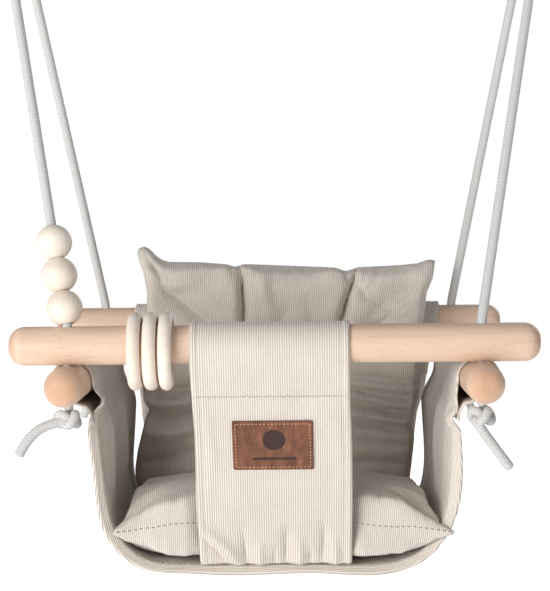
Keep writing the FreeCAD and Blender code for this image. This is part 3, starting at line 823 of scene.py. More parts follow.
def sew_patch(base, across, up, out, half_w, half_h):
    """A line of stitches inside each edge of the patch."""
    corners = [np.array([half_w, half_h]) * corner for corner in ((-1, 1), (1, 1), (1, -1), (-1, -1))]
    seams = []
    for start, end in zip(corners, corners[1:] + corners[:1]):
        number = max(int(round(np.linalg.norm(end - start) / PATCH_SEAM_PERIOD)), 2)
        spots = start + (end - start) * (np.arange(number)[:, None] + 0.5) / number
        places = base + spots[:, :1] * across + spots[:, 1:] * up + (PATCH_THICK - 0.12) * out
        ahead = (end - start)[0] * across + (end - start)[1] * up
        seams.append((places, [ahead] * number, [out] * number))
    sewn = stitches("patch_sewing", seams, length=2.1, radius=0.36, material=PATCH_THREAD, slot="thread")
    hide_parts("patch_stitches")


def make_patch(surface, path, top):
    base, across, up, out = patch_frame(surface, path, top)
    half_w, half_h = PATCH_SIZE[0] / 2, PATCH_SIZE[1] / 2
    a, b = patch_grid(half_w, half_h)
    inset = np.minimum(half_w - np.abs(a), half_h - np.abs(b))
    from_disc = np.hypot(a - DISC_MIDDLE[0], b - DISC_MIDDLE[1])
    disc = 1 - smoothstep(from_disc, DISC_RADIUS, DISC_RADIUS + 0.7)
    bar = 1 - smoothstep(np.abs(a - DISC_MIDDLE[0]), MARK_BAR_HALF[0], MARK_BAR_HALF[0] + 0.6)
    bar *= 1 - smoothstep(np.abs(b + MARK_BAR_DROP), MARK_BAR_HALF[1], MARK_BAR_HALF[1] + 0.5)
    pressed = np.maximum(disc, bar)
    groove = bell(inset, PATCH_SEAM, 0.55)
    rounding = 1 - smoothstep(inset, 0.0, 0.9)
    height = PATCH_THICK - 0.35 * pressed - 0.3 * groove - 0.5 * rounding
    height += 0.12 * rippled(np.stack([a, b, 0 * a], axis=-1), 16.0, 7.7)
    rear = base + a[..., None] * across + b[..., None] * up
    face = rear + height[..., None] * out
    points = np.vstack([face.reshape(-1, 3), rear.reshape(-1, 3)])
    count = PATCH_ROWS * PATCH_COLUMNS
    faces = grid_faces(PATCH_ROWS, PATCH_COLUMNS) + grid_faces(PATCH_ROWS, PATCH_COLUMNS, count, flip=True)
    loop = [r * PATCH_COLUMNS + c for r, c in border_loop(PATCH_ROWS, PATCH_COLUMNS)]
    faces += [(q, p, p + count, q + count) for p, q in zip(loop, loop[1:] + loop[:1])]
    pressed = np.concatenate([pressed.ravel(), 0 * pressed.ravel()])
    edge = np.concatenate([1 - smoothstep(inset, 0, 0.7).ravel(), 1 + 0 * inset.ravel()])
    skin = new_object("patch_leather", points, faces, pressed=pressed, edge=edge)
    piece(skin, "swing", "leather", LEATHER, "leather_patch")
    sew_patch(base, across, up, out, half_w - PATCH_SEAM, half_h - PATCH_SEAM)


# ---------------------------------------------------------------- sling

SLING_CLOTH = 2.0
SIDE_SLEEVE = BAR_RADIUS + 0.5 + SLING_CLOTH / 2
HEM = 8.6
# Where the hem's two seams run, from the front edge.
SLING_SEAMS = (HEM - 1.6, HEM + 1.4)
SLING_COLUMNS = 84
# From here outwards the sling is all wall.
WALL_X = 138.0
# How far the front hem and the rear hem turn outwards, and how deep the front is pinched under the sleeves.
FRONT_FLARE, REAR_FLARE, SLEEVE_PINCH = 4.6, 3.2, 6.5
# How far forward the sling reaches at a depth under the bars, inside and outside its sleeves' tops.
SLING_FRONT_INSIDE = ((-20, 30, 45, 110, 150, 190), (-108, -108, -104.5, -95, -88, -80))
SLING_FRONT_OUTSIDE = ((-20, 30, 80), (-108, -108, -103))
SLING_REAR = 108.0
SLING_SEAM_END = (148.6, -50.5)
SLING_LAP = ((144.4, -64.0), (144.6, -58.0))
# One half seen from the front, (x, z), from the sleeve to the floor's middle.
SLING_SIDE = (
    (142.4, -45.0), (141.4, -66.0), (140.6, -90.0), (140.2, -108.0), (139.8, -126.0), (136.8, -145.0),
    (131.2, -158.5), (123.4, -169.8), (113.4, -177.8), (101.6, -182.8), (86.0, -184.8), (60.0, -185.0),
    (0.0, -185.0),
)

SLING_RIPPLE = 1.3
# Lines are (+-(1000 + depth under the bars), y): minus for the left wall, plus for the right one.
SLING_FOLDS = (
    (((-1030, -88), (-1070, -80), (-1124, -66)), 3.0, 5.0),
    (((-1034, -66), (-1080, -58), (-1130, -44)), -5.4, 7.0),
    (((-1034, -30), (-1090, -20), (-1140, -16)), 4.4, 8.0),
    (((-1040, 6), (-1100, 20), (-1140, 30)), -5.0, 9.0),
    (((-1036, 62), (-1090, 58), (-1130, 66)), 3.4, 9.0),
    (((1030, -92), (1050, -78), (1072, -66)), -4.4, 4.6),
    (((1034, -66), (1080, -58), (1130, -50)), 3.4, 7.0),
    (((1040, -20), (1090, -12), (1140, -4)), -4.2, 8.0),
    (((1036, 34), (1080, 44), (1130, 52)), 3.8, 9.0),
)


def rounded(line, passes=3):
    """A line with its corners cut again and again."""
    line = np.array(line, float)
    for _ in range(passes):
        early, late = line[:-1] * 0.75 + line[1:] * 0.25, line[:-1] * 0.25 + line[1:] * 0.75
        line = np.vstack([line[:1], np.stack([early, late], axis=1).reshape(-1, line.shape[1]), line[-1:]])
    return line


def side_profile(sign):
    """One half of the sling seen from the front, (x, z), from the outer seam to the floor's middle."""
    centre = (HOLE_X, SIDE_DROP)
    sleeve = arc(centre, SIDE_SLEEVE, sleeve_turn(centre, SIDE_SLEEVE, SLING_SEAM_END, 1), 180.0, 36)
    return np.vstack([SLING_LAP, [SLING_SEAM_END], sleeve, rounded(SLING_SIDE)]) * [sign, 1]


def drawn_in(y, depth):
    """How much nearer to the middle the walls come at a depth and a distance back."""
    deep = smoothstep(y, -100, 100)
    high = 1 - smoothstep(depth, 60, 140)
    return 0.8 + deep * (4.6 + 4.6 * high) - 2.4 * (1 - smoothstep(y, -100, -70))


def sling_level(x):
    """How high the sling's floor is at each distance from the middle."""
    side = rounded(SLING_SIDE)
    order = np.argsort(side[:, 0])
    return np.interp(np.abs(x), side[order, 0], side[order, 1])


def inside_sling(points, clearance):
    """Moves points that would be in the sling's cloth to its inner side."""
    x, y, z = points.T.copy()
    width = np.abs(x)
    # The hems stand open at the front.
    opening = 16.0 * smoothstep(-y, 82, 90)
    steep = smoothstep(width, 116, 128)
    ground = sling_level(x) + clearance * (1 - steep) - 40 * steep - 3 * opening
    z = np.where(width < 128, np.maximum(z, ground), z)
    side = rounded(SLING_SIDE)
    fall = np.argsort(-side[:, 1])
    wall = np.interp(-z, -side[fall, 1], side[fall, 0]) - drawn_in(y, -z) - clearance + opening
    x = np.sign(x) * np.where(z < -40, np.minimum(width, np.maximum(wall, 60)), width)
    return np.stack([x, y, z], axis=1)


def hem_seam(surface, normals, gap, rows, place):
    """A seam down the rows of the sling that keeps its place behind the front edge."""
    line, facing = [], []
    for r in rows:
        column = np.interp(place, gap[r], np.arange(SLING_COLUMNS))
        c = int(column)
        line.append(surface[r, c] + (surface[r, c + 1] - surface[r, c]) * (column - c))
        facing.append(normals[r, c])
    return seam(np.array(line), np.array(facing), period=4.6, first=3.0, last=2.0)


def make_sling():
    left, right = side_profile(-1), side_profile(1)
    profile = resample(np.vstack([left, right[::-1][1:]]), spacing=3.0)
    along = path_lengths(profile)
    # The rows at the tops of the left and the right sleeve.
    first, last = (int(np.argmax(np.where(s * profile[:, 0] > 0, profile[:, 1], -1e3))) for s in (-1, 1))
    number = np.arange(len(profile))[:, None]
    inside = (number >= first) & (number <= last)
    x0, depth = profile[:, :1], -profile[:, 1:]
    front = np.where(inside, np.interp(depth, *SLING_FRONT_INSIDE), np.interp(depth, *SLING_FRONT_OUTSIDE))
    # Columns crowd near both hems.
    t = np.linspace(0, 1, SLING_COLUMNS)[None, :]
    y = front + (SLING_REAR - front) * (t - 0.075 * np.sin(2 * math.pi * t))
    gap, rear_gap = y - front, SLING_REAR - y
    low = smoothstep(depth, 40, 70) * inside
    # The walls draw in to the rear and open out to the front.
    wall = np.clip(np.abs(x0) / WALL_X, 0, 1) * low
    x = x0 - np.sign(x0) * wall * drawn_in(y, depth)
    grid = np.stack([x, y, np.broadcast_to(-depth, y.shape)], axis=-1)
    outward = -grid_normals(grid)
    wall_place = np.broadcast_to(np.where(x0 < 0, -1, 1) * (depth + 1000.0), y.shape)
    height = (SLING_RIPPLE * rippled(grid, 46.0, 12.4) + creases(wall_place, y, SLING_FOLDS)) * low
    # Both hems turn outwards, and under the sleeves the front one is pinched.
    flap = np.clip(1 - gap / HEM, 0, 1)
    flare = smoothstep(depth, 44, 74) * inside
    height += flare * (FRONT_FLARE + 0.7 * np.sin(along / 17.0)[:, None]) * flap**1.05
    height += REAR_FLARE * smoothstep(depth, 50, 90) * inside * np.clip(1 - rear_gap / HEM, 0, 1) ** 1.15
    pinch = bell(depth, 46, 7.0) * (x0 < 0) + bell(depth, 64, 6.0) * (x0 > 0)
    height -= SLEEVE_PINCH * pinch * inside * bell(gap, 0, 26.0)
    height -= 0.6 * bell(gap, HEM + 0.8, 1.0) * inside
    grid = grid + outward * height[..., None]
    # The front flap turns outwards, so it reaches less far forward.
    grid[..., 1] += flare * 3.6 * flap
    doubled = (smoothstep(HEM - gap, 0, 0.9) + smoothstep(HEM - rear_gap, 0, 0.9)) * inside
    thickness = SLING_CLOTH + 1.3 * doubled * smoothstep(depth, 47, 58)
    cloth = shell("sling_cloth", grid, thickness, wale=y)
    # The shell's first sheet is the cloth's inner side, seen between the sleeves' tops. It gets a lighter
    # copy of the corduroy: painted light on the shaded inside.
    materials = np.zeros(len(cloth.data.polygons), int)
    first_sheet = materials[: (len(profile) - 1) * (SLING_COLUMNS - 1)]
    first_sheet.reshape(len(profile) - 1, -1)[first + 2 : last - 2] = 1
    cloth.data.materials.append(CORDUROY)
    cloth.data.materials.append(CORDUROY_INSIDE_PAINTED_LIGHT)
    cloth.data.polygons.foreach_set("material_index", materials)
    piece(cloth, "swing", "corduroy", None, "seat_sling")
    inward = grid_normals(grid)
    surface = grid + inward * thickness[..., None] / 2
    seams = [hem_seam(surface, inward, gap, range(first, last + 1), place) for place in SLING_SEAMS]
    sewn = stitches("sling_stitches", seams, CLOTH_STITCH, CLOTH_THREAD, THREAD)


# ---------------------------------------------------------------- back panel

PANEL_CLOTH = 2.2
PANEL_FOOT = (111.6, -189.0)
PANEL_SEAM_END = -41.0
PANEL_SEAMS = (36.0, 42.0)
PANEL_COLUMNS = 110
# Where both edges are at a depth under the bar.
PANEL_LEFT = ((-20, 40, 90, 190), (-131, -131, -127, -112))
PANEL_RIGHT = ((-20, 20, 67, 90, 190), (148, 142, 134, 127, 114))
PANEL_FOLDS = (
    (((-90, -60), (-70, -120), (-60, -184)), 1.4, 9.0),
    (((20, -50), (10, -110), (22, -184)), -1.4, 12.0),
    (((80, -64), (70, -120), (74, -180)), 1.2, 9.0),
)


def make_back_panel():
    # It hangs on the rear bar as the strap does on the front one, the other way round.
    foot = (-PANEL_FOOT[0], PANEL_FOOT[1])
    path = sleeve_path(foot, PANEL_SEAM_END, PANEL_CLOTH, [foot], spacing=2.4) * [-1, 1]
    top = int(np.argmax(path[:, 1]))
    behind = (np.arange(len(path)) > top)[:, None]
    down = -path[:, 1:]
    left, right = np.interp(down, *PANEL_LEFT), np.interp(down, *PANEL_RIGHT)
    x = left + (right - left) * np.linspace(0, 1, PANEL_COLUMNS)[None, :]
    # The foot follows the sling's floor, just below it.
    z = path[:, 1:] + (sling_level(x) - 5.0 - PANEL_FOOT[1]) * smoothstep(down, 40, 189) * behind
    grid = hanging_grid(path, x, z)
    outward = -grid_normals(grid)
    deep = np.broadcast_to(down, x.shape)
    height = creases(x, -deep, PANEL_FOLDS) * behind
    height += 0.8 * rippled(grid, 50.0, 21.0) * smoothstep(deep, 12, 40)
    for drop in PANEL_SEAMS:
        height -= 0.5 * bell(deep, drop, 0.9) * behind
    height += 0.9 * (1 - smoothstep(deep, 38.2, 40.0)) * behind
    height -= 0.5 * bell(np.minimum(x - left, right - x), 6.0, 0.9)
    grid = grid + outward * height[..., None]
    cloth = shell("back_panel_cloth", grid, PANEL_CLOTH, wale=x)
    piece(cloth, "swing", "corduroy", CORDUROY, "back_panel")
    # Turned about, so that its normals are those of the outer side.
    surface = (grid + outward * PANEL_CLOTH / 2)[:, ::-1]
    seams = seams_below_bar(surface, path, top, PANEL_SEAMS)
    seams += [cloth_seam(surface, (slice(None), column)) for column in (3, PANEL_COLUMNS - 4)]
    sewn = stitches("back_panel_stitches", seams, CLOTH_STITCH, CLOTH_THREAD, THREAD)


# ---------------------------------------------------------------- cushions


def pillow_mesh(name, width, depth, corner_pull):
    """Two flat sheets sewn round the border, which is drawn in between the corners, and their flat points."""
    columns, rows = (int(round(size / CUSHION_SPACING)) + 1 for size in (width, depth))
    u, v = np.meshgrid(np.linspace(-1, 1, columns), np.linspace(-1, 1, rows))
    x = u * width / 2 * (1 - corner_pull * (1 - v**2))
    y = v * depth / 2 * (1 - corner_pull * (1 - u**2))
    inner = np.zeros((rows, columns), bool)
    inner[1:-1, 1:-1] = True
    lens = np.where(inner, 2.2 * np.minimum(1, 3 * np.minimum(1 - np.abs(u), 1 - np.abs(v))), 0)
    upper = np.arange(rows * columns).reshape(rows, columns)
    lower = upper.copy()
    lower[inner] = rows * columns + np.arange(inner.sum())
    top, bottom = (np.stack([x, y, height], axis=-1) for height in (lens, -lens))
    points = np.vstack([top.reshape(-1, 3), bottom[inner]])
    faces = []
    for r in range(rows - 1):
        for c in range(columns - 1):
            cell = ((r, c), (r, c + 1), (r + 1, c + 1), (r + 1, c))
            faces.append([upper[corner] for corner in cell])
            faces.append([lower[corner] for corner in (cell[0], *cell[:0:-1])])
    sheet_u, sheet_v = (np.concatenate([values.ravel(), values[inner]]) for values in (u, v))
    side = np.concatenate([np.where(inner, 1.0, 0.0).ravel(), -np.ones(inner.sum())])
    thing = new_object(name, points, faces, wale=points[:, 0], u=sheet_u, v=sheet_v, side=side)
    return thing, points[:, :2]


def inflate(thing, rest, tufts, pressure, frames=20):
    """Blows the sewn sheets up by cloth simulation and returns the shape at the last frame."""
    scene = bpy.context.scene
    scene.gravity = (0, 0, 0)
    settings = thing.modifiers.new("Cloth", "CLOTH").settings
    settings.quality = 8
    settings.time_scale = 1.0
    settings.mass = 0.25
    settings.tension_stiffness = settings.compression_stiffness = 25
    settings.shear_stiffness = 8
    settings.bending_stiffness = 0.06
    settings.tension_damping = settings.compression_damping = settings.shear_damping = 25
    settings.air_damping = 4
    settings.use_pressure = True
    settings.uniform_pressure_force = pressure
    thing.modifiers["Cloth"].collision_settings.use_collision = False
    if tufts:
        group = thing.vertex_groups.new(name="tuft")
        for place in tufts:
            gap = np.hypot(rest[:, 0] - place[0], rest[:, 1] - place[1])
            group.add([int(k) for k in np.where(gap < place[2])[0]], 1.0, "REPLACE")
        settings.vertex_group_mass = "tuft"
    for frame_number in range(1, frames + 1):
        scene.frame_set(frame_number)
    shaped = thing.evaluated_get(bpy.context.evaluated_depsgraph_get())
    points = mesh_points(shaped.to_mesh())
    shaped.to_mesh_clear()
    thing.modifiers.clear()
    scene.frame_set(1)
    return points


def finer(thing):
    """One subdivision, applied; returns the points and the carried attributes."""
    thing.modifiers.new("Subdivision", "SUBSURF").levels = 1
    shaped = thing.evaluated_get(bpy.context.evaluated_depsgraph_get())
    mesh = bpy.data.meshes.new_from_object(shaped)
    thing.modifiers.clear()
    thing.data = mesh
    values = {}
    for key in ("u", "v", "side"):
        values[key] = np.empty(len(mesh.vertices))
        mesh.attributes[key].data.foreach_get("value", values[key])
    return mesh_points(mesh), values


def set_points(thing, points_mm):
    thing.data.vertices.foreach_set("co", at_frame(points_mm).ravel())
    thing.data.update()


def blown_out(thickness, fullness):
    """Makes a lens-shaped thickness fuller towards the border."""
    most = np.abs(thickness).max()
    return np.sign(thickness) * most * (np.abs(thickness) / most) ** fullness


def outlined(points, values, targets):
    """Moves the border of a pillow onto four drawn sides and carries the inside along.

    points are (x, y) in the pillow's plane. targets has the sides low, high (in v) and left, right (in u),
    each drawn from the lower to the higher coordinate.
    """
    u, v = values["u"], values["v"]
    border = np.abs(values["side"]) < 1e-3
    steps = np.linspace(-1, 1, 81)
    sides = (("low", u, v, -1), ("high", u, v, 1), ("left", v, u, -1), ("right", v, u, 1))
    shift = {}
    for name, along, across, end in sides:
        on = np.where(border & (np.abs(across - end) < 1e-4))[0]
        on = on[np.argsort(along[on])]
        target = resample(np.array(targets[name], float), count=len(steps))
        shift[name] = target - at_places(steps, along[on], points[on])
    low, high = at_places(u, steps, shift["low"]), at_places(u, steps, shift["high"])
    left, right = at_places(v, steps, shift["left"]), at_places(v, steps, shift["right"])
    s, t = ((1 + u) / 2)[:, None], ((1 + v) / 2)[:, None]
    at_low = (1 - s) * shift["low"][0] + s * shift["low"][-1]
    at_high = (1 - s) * shift["high"][0] + s * shift["high"][-1]
    return points + (1 - t) * (low - at_low) + t * (high - at_high) + (1 - s) * left + s * right


# The level on the sling's floor that the seat cushion rests on.
CUSHION_REST = -182.9
# Both cushions keep to their side of the plane y + z = CUSHIONS_MEET, and this far from it.
CUSHIONS_MEET, CUSHION_GAP = -72.0, 0.7
# How far the seat's front swells out over its border, and how far the strap presses it in.
SEAT_SWELL, SEAT_PRESSED = 7.0, 9.0
# The filling's thickness as a share of the cover's, and how far inside the border it ends.
FILLING_SHARE, FILLING_INSET = 0.4, 20.0
CUSHION_SPACING = 4.6
BORDER_STITCH_PERIOD, BORDER_STITCH, BORDER_THREAD = 4.7, 3.1, 0.5
SEAT_FLAT, SEAT_HALF_UP, SEAT_HALF_DOWN, SEAT_BORDER = (306.0, 206.0), 31.0, 33.0, -153.5
SEAT_OUTLINE = {
    "low": ((-132.5, -91), (-112, -87), (-70, -84), (5, -83), (80, -84), (122, -87), (143, -91)),
    "high": ((-116, 76), (-90, 72), (2, 70), (90, 72), (118, 76)),
    "left": ((-132.5, -91), (-125, -60), (-119, -10), (-117, 30), (-116, 76)),
    "right": ((143, -91), (130, -60), (121, -10), (118, 30), (118, 76)),
}
BACK_FLAT, BACK_HALF, BACK_MIDDLE_Y = (296.0, 240.0), 25.5, 83.0
# Each tuft's place in the cushion's own flat millimetres and its radius.
BACK_TUFTS = ((-35.0, 12.0, 4.0), (58.0, 12.0, 4.0))
BACK_OUTLINE = {
    "low": ((-133, -149), (-80, -147), (-8, -146), (60, -146), (117, -147)),
    "high": (
        (-125.5, 66), (-124.5, 70.5), (-120.5, 73), (-115, 71), (-109.5, 65), (-104, 60.5), (-97, 58.5),
        (-69, 58), (-45, 56), (-38, 53.5), (-30, 56),
        (20, 53.5), (52, 52), (62, 48.5), (72, 52), (110, 53.5), (126, 55), (136, 58.5), (142, 57),
    ),
    "left": (
        (-133, -149), (-131, -132), (-128, -112), (-123, -92), (-121, -84), (-117, -75), (-121, -66),
        (-121, -40), (-118, 0), (-117, 30), (-120, 48), (-124, 59), (-125.5, 66),
    ),
    "right": (
        (117, -147), (119, -130), (121, -112), (122, -100), (119, -88), (122, -76), (126, -63), (129, -30),
        (131, 5), (134, 28), (140, 42), (142, 57),
    ),
}
# Each fold is (its line in the cushion's own flat millimetres, its height, its half width).
SEAT_FOLDS_TOP = (
    (((-150, -98), (-128, -74), (-98, -62)), -3.0, 6.0),
    (((-146, -66), (-118, -56), (-96, -34)), 2.0, 6.0),
    (((-152, -20), (-120, -14), (-90, 6)), -2.6, 7.0),
    (((-66, -103), (-70, -78), (-58, -54)), -2.2, 5.0),
    (((-100, -103), (-96, -86), (-88, -74)), -1.6, 4.0),
    (((148, -98), (122, -78), (104, -52)), -3.0, 6.0),
    (((150, -64), (120, -50), (98, -50)), 2.0, 6.0),
    (((66, -103), (64, -82), (72, -58)), -2.6, 4.5),
    (((92, -103), (88, -88), (94, -70)), -2.0, 4.0),
    (((118, -103), (110, -88), (112, -74)), 1.4, 4.0),
    (((-146, 2), (-90, 8), (-30, 4)), -8.0, 9.0),
    (((30, 4), (90, 8), (146, 0)), -8.0, 9.0),
)
SEAT_FOLDS_FRONT = (
    (((-130, -103), (-122, -90), (-110, -80)), -1.6, 4.0),
    (((-84, -103), (-80, -88), (-82, -72)), -1.5, 4.0),
    (((100, -103), (98, -88), (102, -72)), -1.5, 4.0),
    (((128, -103), (120, -88), (108, -78)), -1.6, 4.0),
)
BACK_FOLDS_FRONT = (
    (((-35, 12), (-37, 60), (-42, 118)), -15.0, 3.0),
    (((-35, 12), (-60, 48), (-100, 76), (-136, 110)), -5.8, 7.5),
    (((-140, 98), (-112, 92), (-84, 96)), 3.2, 6.0),
    (((-35, 12), (-12, 34), (6, 66)), -4.8, 6.0),
    (((-22, 112), (-18, 84), (-8, 60)), 2.6, 6.0),
    (((58, 12), (60, 60), (72, 118)), -15.0, 3.0),
    (((58, 12), (92, 50), (130, 84)), -5.8, 7.5),
    (((62, 108), (84, 84), (112, 70)), -3.8, 5.0),
    (((140, 78), (112, 66), (92, 60)), 3.2, 5.0),
    (((140, 52), (116, 46), (96, 34)), -3.8, 5.0),
    (((58, 12), (36, 40), (26, 72)), -4.8, 6.0),
    (((-35, 12), (10, 4), (58, 12)), -6.4, 8.0),
    (((-38, 4), (-84, -10), (-146, -22)), -8.0, 6.0),
    (((-40, -8), (-92, -34), (-146, -40)), -9.6, 5.0),
    (((-146, -31), (-112, -24), (-84, -22)), 4.8, 5.5),
    (((-146, -60), (-110, -56), (-80, -50)), 5.1, 6.5),
    (((-142, -92), (-100, -78), (-64, -72)), -5.8, 6.5),
    (((62, 2), (100, -2), (146, -8)), -8.0, 4.6),
    (((62, -10), (104, -18), (146, -24)), -8.0, 4.2),
    (((70, -4), (108, -9), (140, -15)), 3.8, 3.6),
    (((64, -24), (104, -34), (146, -40)), -8.0, 4.2),
    (((72, -18), (108, -27), (142, -33)), 3.8, 3.6),
    (((64, -44), (104, -52), (146, -60)), -8.0, 4.2),
    (((78, -38), (110, -44), (142, -50)), 4.2, 3.6),
    (((80, -62), (110, -70), (140, -74)), -5.8, 4.2),
    (((66, -88), (100, -88), (140, -94)), -5.1, 5.0),
    (((-52, 119), (-48, 100)), -3.4, 2.6),
    (((-33, 119), (-36, 98)), -3.0, 2.6),
    (((62, 119), (62, 98)), -3.0, 2.6),
    (((84, 119), (76, 98)), -3.4, 2.6),
    (((96, 119), (84, 92)), -2.0, 3.0),
)


def parted(thick, side):
    """Keeps the two sheets from passing through each other in a deep fold."""
    least = 1.2 * np.clip(np.abs(side), 0, 1)
    thick = np.where(side > 0, np.maximum(thick, least), thick)
    return np.where(side < 0, np.minimum(thick, -least), thick)


def puckers(values, flat, seed):
    """Small gathers along the sewn border, where the cloth is pulled in by its seam."""
    a, b = values["u"] * flat[0] / 2, values["v"] * flat[1] / 2
    gap = np.minimum(flat[0] / 2 - np.abs(a), flat[1] / 2 - np.abs(b))
    along = np.where(flat[0] / 2 - np.abs(a) < flat[1] / 2 - np.abs(b), b, a)
    strength = rippled(np.stack([along, 0 * a, values["side"] * 9], axis=1), 6.5, seed)
    return 2.4 * strength * np.exp(-gap / 13.0) * smoothstep(gap, 0, 4) * values["side"]


def thickness_folds(values, flat, folds):
    """Folds drawn in a cushion's flat millimetres and raised along its thickness."""
    return creases(values["u"] * flat[0] / 2, values["v"] * flat[1] / 2, folds)


def blown_pillow(name, flat, corner_pull, tufts, pressure):
    """A blown-up pillow lying flat, with its points and the carried attributes."""
    cushion, rest = pillow_mesh(name, *flat, corner_pull)
    set_points(cushion, inflate(cushion, rest, tufts, pressure))
    return cushion, *finer(cushion)


def finish_cushion(cushion, points, values, body, rise, lift):
    """Sets the cover's points and adds its filling, its stitches and what stands for which CAD node."""
    name = cushion.name
    set_points(cushion, points)
    make_filling(name + "_fibre", cushion, values, rise, body, name + "_filling")
    piece(cushion, body, "corduroy", CORDUROY, name + "_cover")
    border_stitches(name + "_stitches", cushion, values, body, lift)


def make_seat_cushion():
    cushion, points, values = blown_pillow(
        "seat_cushion", SEAT_FLAT, corner_pull=0.035, tufts=(), pressure=3.2
    )
    u, v, side = values["u"], values["v"], values["side"]
    points[:, :2] = outlined(points[:, :2], values, SEAT_OUTLINE)
    thick = blown_out(points[:, 2], 0.62)
    thick *= np.where(thick > 0, SEAT_HALF_UP, SEAT_HALF_DOWN) / np.abs(thick).max()
    thick *= 1 - 0.5 * smoothstep(np.abs(u), 0.66, 1.0) * smoothstep(-v, 0.2, 1.0)
    thick += thickness_folds(values, SEAT_FLAT, SEAT_FOLDS_TOP) * np.clip(side, 0, 1)
    thick -= thickness_folds(values, SEAT_FLAT, SEAT_FOLDS_FRONT) * np.clip(-side, 0, 1)
    thick += 0.9 * rippled(points, 40.0, 5.5) * side + puckers(values, SEAT_FLAT, 3.3)
    thick = parted(thick, side)
    # The sewn border: level with the corners at the sides and rear, a little higher in the front's middle.
    border = SEAT_BORDER + 7.5 * (1 - u**2) * (1 - v) / 2 - 2.5 * smoothstep(u, 0.3, 1) * (1 - v) / 2
    points[:, 2] = np.maximum(border + thick, CUSHION_REST)
    # The front swells out over the border, above and below it.
    swollen = np.clip(np.abs(thick) / 26.0, 0, 1)
    points[:, 1] -= SEAT_SWELL * swollen * smoothstep(-v, 0.45, 0.95) * smoothstep(1 - np.abs(u), 0.0, 0.25)
    behind_strap = smoothstep(-v, 0.2, 0.9) * (1 - smoothstep(np.abs(points[:, 0] + 2), 52, 72))
    points[:, 1] += SEAT_PRESSED * behind_strap
    x, y, z = inside_sling(points, 4.6).T
    over_lap = (1 - smoothstep(np.abs(x), 62, 72)) * (1 - smoothstep(y, -62, -50))
    z = np.maximum(z, CUSHION_REST + 3.6 * over_lap)
    z = np.where(y > 40, np.minimum(z, CUSHIONS_MEET - CUSHION_GAP - y), z)
    points = np.stack([x, y, z], axis=1)
    finish_cushion(cushion, points, values, "swing", rise=1, lift=0.0)


def make_back_cushion():
    cushion, points, values = blown_pillow(
        "back_cushion", BACK_FLAT, corner_pull=0.045, tufts=BACK_TUFTS, pressure=3.0
    )
    side = values["side"]
    plane = outlined(points[:, :2], values, BACK_OUTLINE)
    thick = blown_out(points[:, 2], 0.6)
    thick *= BACK_HALF / np.abs(thick).max()
    # The folds go through to the rear sheet, a third as deep.
    folds = thickness_folds(values, BACK_FLAT, BACK_FOLDS_FRONT)
    thick += folds * (1.5 * np.clip(side, 0, 1) - 0.5 * np.clip(-side, 0, 1))
    thick += 1.6 * rippled(points, 42.0, 8.8) * side + puckers(values, BACK_FLAT, 6.1)
    # The pillow was blown up lying down: it stands with its upper sheet to the front.
    points = np.stack([plane[:, 0], BACK_MIDDLE_Y - parted(thick, side), plane[:, 1]], axis=1)
    x, y, z = inside_sling(points, 3.2).T
    y = np.where(z < -112, np.maximum(y, CUSHIONS_MEET + CUSHION_GAP - z), y)
    points = np.stack([x, y, z], axis=1)
    finish_cushion(cushion, points, values, "back_cushion", rise=2, lift=-0.4)


def make_filling(name, cushion, values, rise, body, node):
    """The fibre filling: the cushion's own shape inside the cover, thinner and a little smaller all round.

    rise is the index of the axis that the cut cloth's v runs along.
    """
    points = mesh_points(cushion.data)
    # Both sheets' points at one place of the cut cloth share that place's middle.
    spots = np.round(np.stack([values["u"], values["v"]], axis=1) * 1000 + 0.37)
    place = np.unique(spots, axis=0, return_inverse=True)[1].ravel()
    middle = np.stack([np.bincount(place, column) for column in points.T], axis=1)
    middle /= np.bincount(place)[:, None]
    points = middle[place] + (points - middle[place]) * FILLING_SHARE
    for axis, key in ((0, "u"), (rise, "v")):
        points[:, axis] -= FILLING_INSET * np.sign(values[key]) * smoothstep(np.abs(values[key]), 0.6, 1.0)
    filling = add_object(name, cushion.data.copy())
    filling.data.name = name
    set_points(filling, points)
    piece(filling, body, "filling", FILL, node)


def border_stitches(name, cushion, values, body, lift):
    """A line of stitches along the border, raised by lift from where the two sheets meet."""
    points = mesh_points(cushion.data)
    normals = np.array([vertex.normal for vertex in cushion.data.vertices])
    near = np.where(np.abs(values["side"]) < 1e-3)[0]
    steps = np.linspace(-0.975, 0.975, 240)
    seams = []
    for axis, other, end in (("u", "v", -1), ("u", "v", 1), ("v", "u", -1), ("v", "u", 1)):
        on = near[np.abs(values[other][near] - end) < 1e-4]
        on = on[np.argsort(values[axis][on])]
        line, normal = (at_places(steps, values[axis][on], kind[on]) for kind in (points, normals))
        seams.append(seam(line, normal, BORDER_STITCH_PERIOD, first=2.0, last=1.0, offset=lift))
    # The border seam's thread is painted darker: painted shade.
    stitches(name, seams, BORDER_STITCH, BORDER_THREAD, SEAM_THREAD_PAINTED_SHADE, body)


# ---------------------------------------------------------------- studio

FLOOR_LEVEL, FLOOR_REACH = -900, 9000
FILL_LIGHT, FILL_ABOVE, FILL_COLOUR = 0.12, 0.25, (0.97, 0.98, 1.0, 1)
# How much the paper shines under the swing and far from it, and the metres away between which it grows.
PAPER_GLOW, PAPER_GLOW_SPAN = (0.3, 1.0), (1.9, 3.2)
# Each lamp is (its name, its place, what it is aimed at, its sides in metres, its power in watts).
LAMPS = (
    ("key", (-1350, -2130, 330), (0, -60, -90), (1.6, 1.2), 54.0),
    ("rear", (1300, 2300, 900), (0, 60, -60), (1.6, 1.2), 26.0),
)


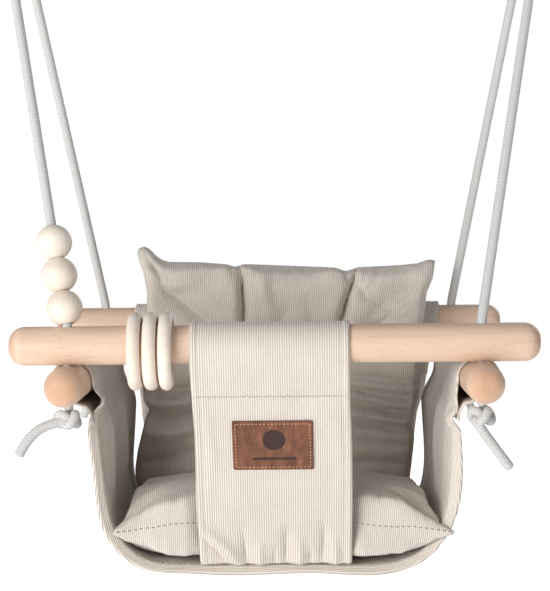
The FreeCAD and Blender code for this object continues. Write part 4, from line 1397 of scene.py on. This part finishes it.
def area_light(name, place_mm, aim_mm, size, power):
    data = bpy.data.lights.new(name, "AREA")
    data.shape = "RECTANGLE"
    data.size, data.size_y = size
    data.energy = power
    light = add_object(name, data)
    place, aim = Vector(at_frame(place_mm)), Vector(at_frame(aim_mm))
    turn = (aim - place).to_track_quat("-Z", "Y").to_matrix().to_4x4()
    light.matrix_world = Matrix.Translation(place) @ turn


def make_sky(world):
    """Paper white to the camera; to everything else a weak light, stronger from above."""
    world.use_nodes = True
    sky = Nodes(world.node_tree)
    fill = sky.tree.nodes["Background"]
    fill.inputs["Color"].default_value = FILL_COLOUR
    direction = sky.add("SeparateXYZ", i0=sky.add("TexCoord").outputs["Generated"])
    sky.feed(fill.inputs["Strength"], sky.span(direction.outputs["Z"], -0.1, 0.6, FILL_LIGHT, FILL_ABOVE))
    white = sky.add("Background", Color=(1, 1, 1, 1), Strength=1.02)
    seen = sky.add("LightPath").outputs["Is Camera Ray"]
    mix = sky.add("MixShader", i0=seen, i1=fill.outputs[0], i2=white.outputs[0])
    sky.feed(sky.tree.nodes["World Output"].inputs["Surface"], mix.outputs[0])


def make_studio():
    """White paper behind and below; the lamps do the modelling, and the paper's own light only fills."""
    scene = bpy.context.scene
    scene.view_settings.view_transform = "Standard"
    scene.world = bpy.data.worlds.new("studio")
    make_sky(scene.world)
    far = FLOOR_REACH
    corners = [(x, y, FLOOR_LEVEL) for x, y in ((-far, -far), (far, -far), (far, far), (-far, far))]
    floor = new_object("floor", corners, [(0, 1, 2, 3)])
    paper = Shader("paper", 0.9, Emission_Color=(1, 1, 1, 1))
    away = paper.add("VectorMath", {"operation": "LENGTH"}, i0=paper.position()).outputs["Value"]
    paper.feed(paper.surface.inputs["Emission Strength"], paper.span(away, *PAPER_GLOW_SPAN, *PAPER_GLOW))
    fibres = paper.noise(paper.position(), 3.0, 3.0, 0.5)
    paper.colour(paper.blend(fibres, (0.93, 0.93, 0.93, 1), (0.96, 0.96, 0.96, 1)))
    floor.data.materials.append(paper.material)
    for name, place, aim, size, power in LAMPS:
        area_light(name, place, aim, size, power)


# ---------------------------------------------------------------- build

make_camera()
make_ropes()
strap_surface = make_strap()
make_patch(*strap_surface)
make_sling()
make_back_panel()
make_seat_cushion()
make_back_cushion()
cover_nodes()
make_studio()
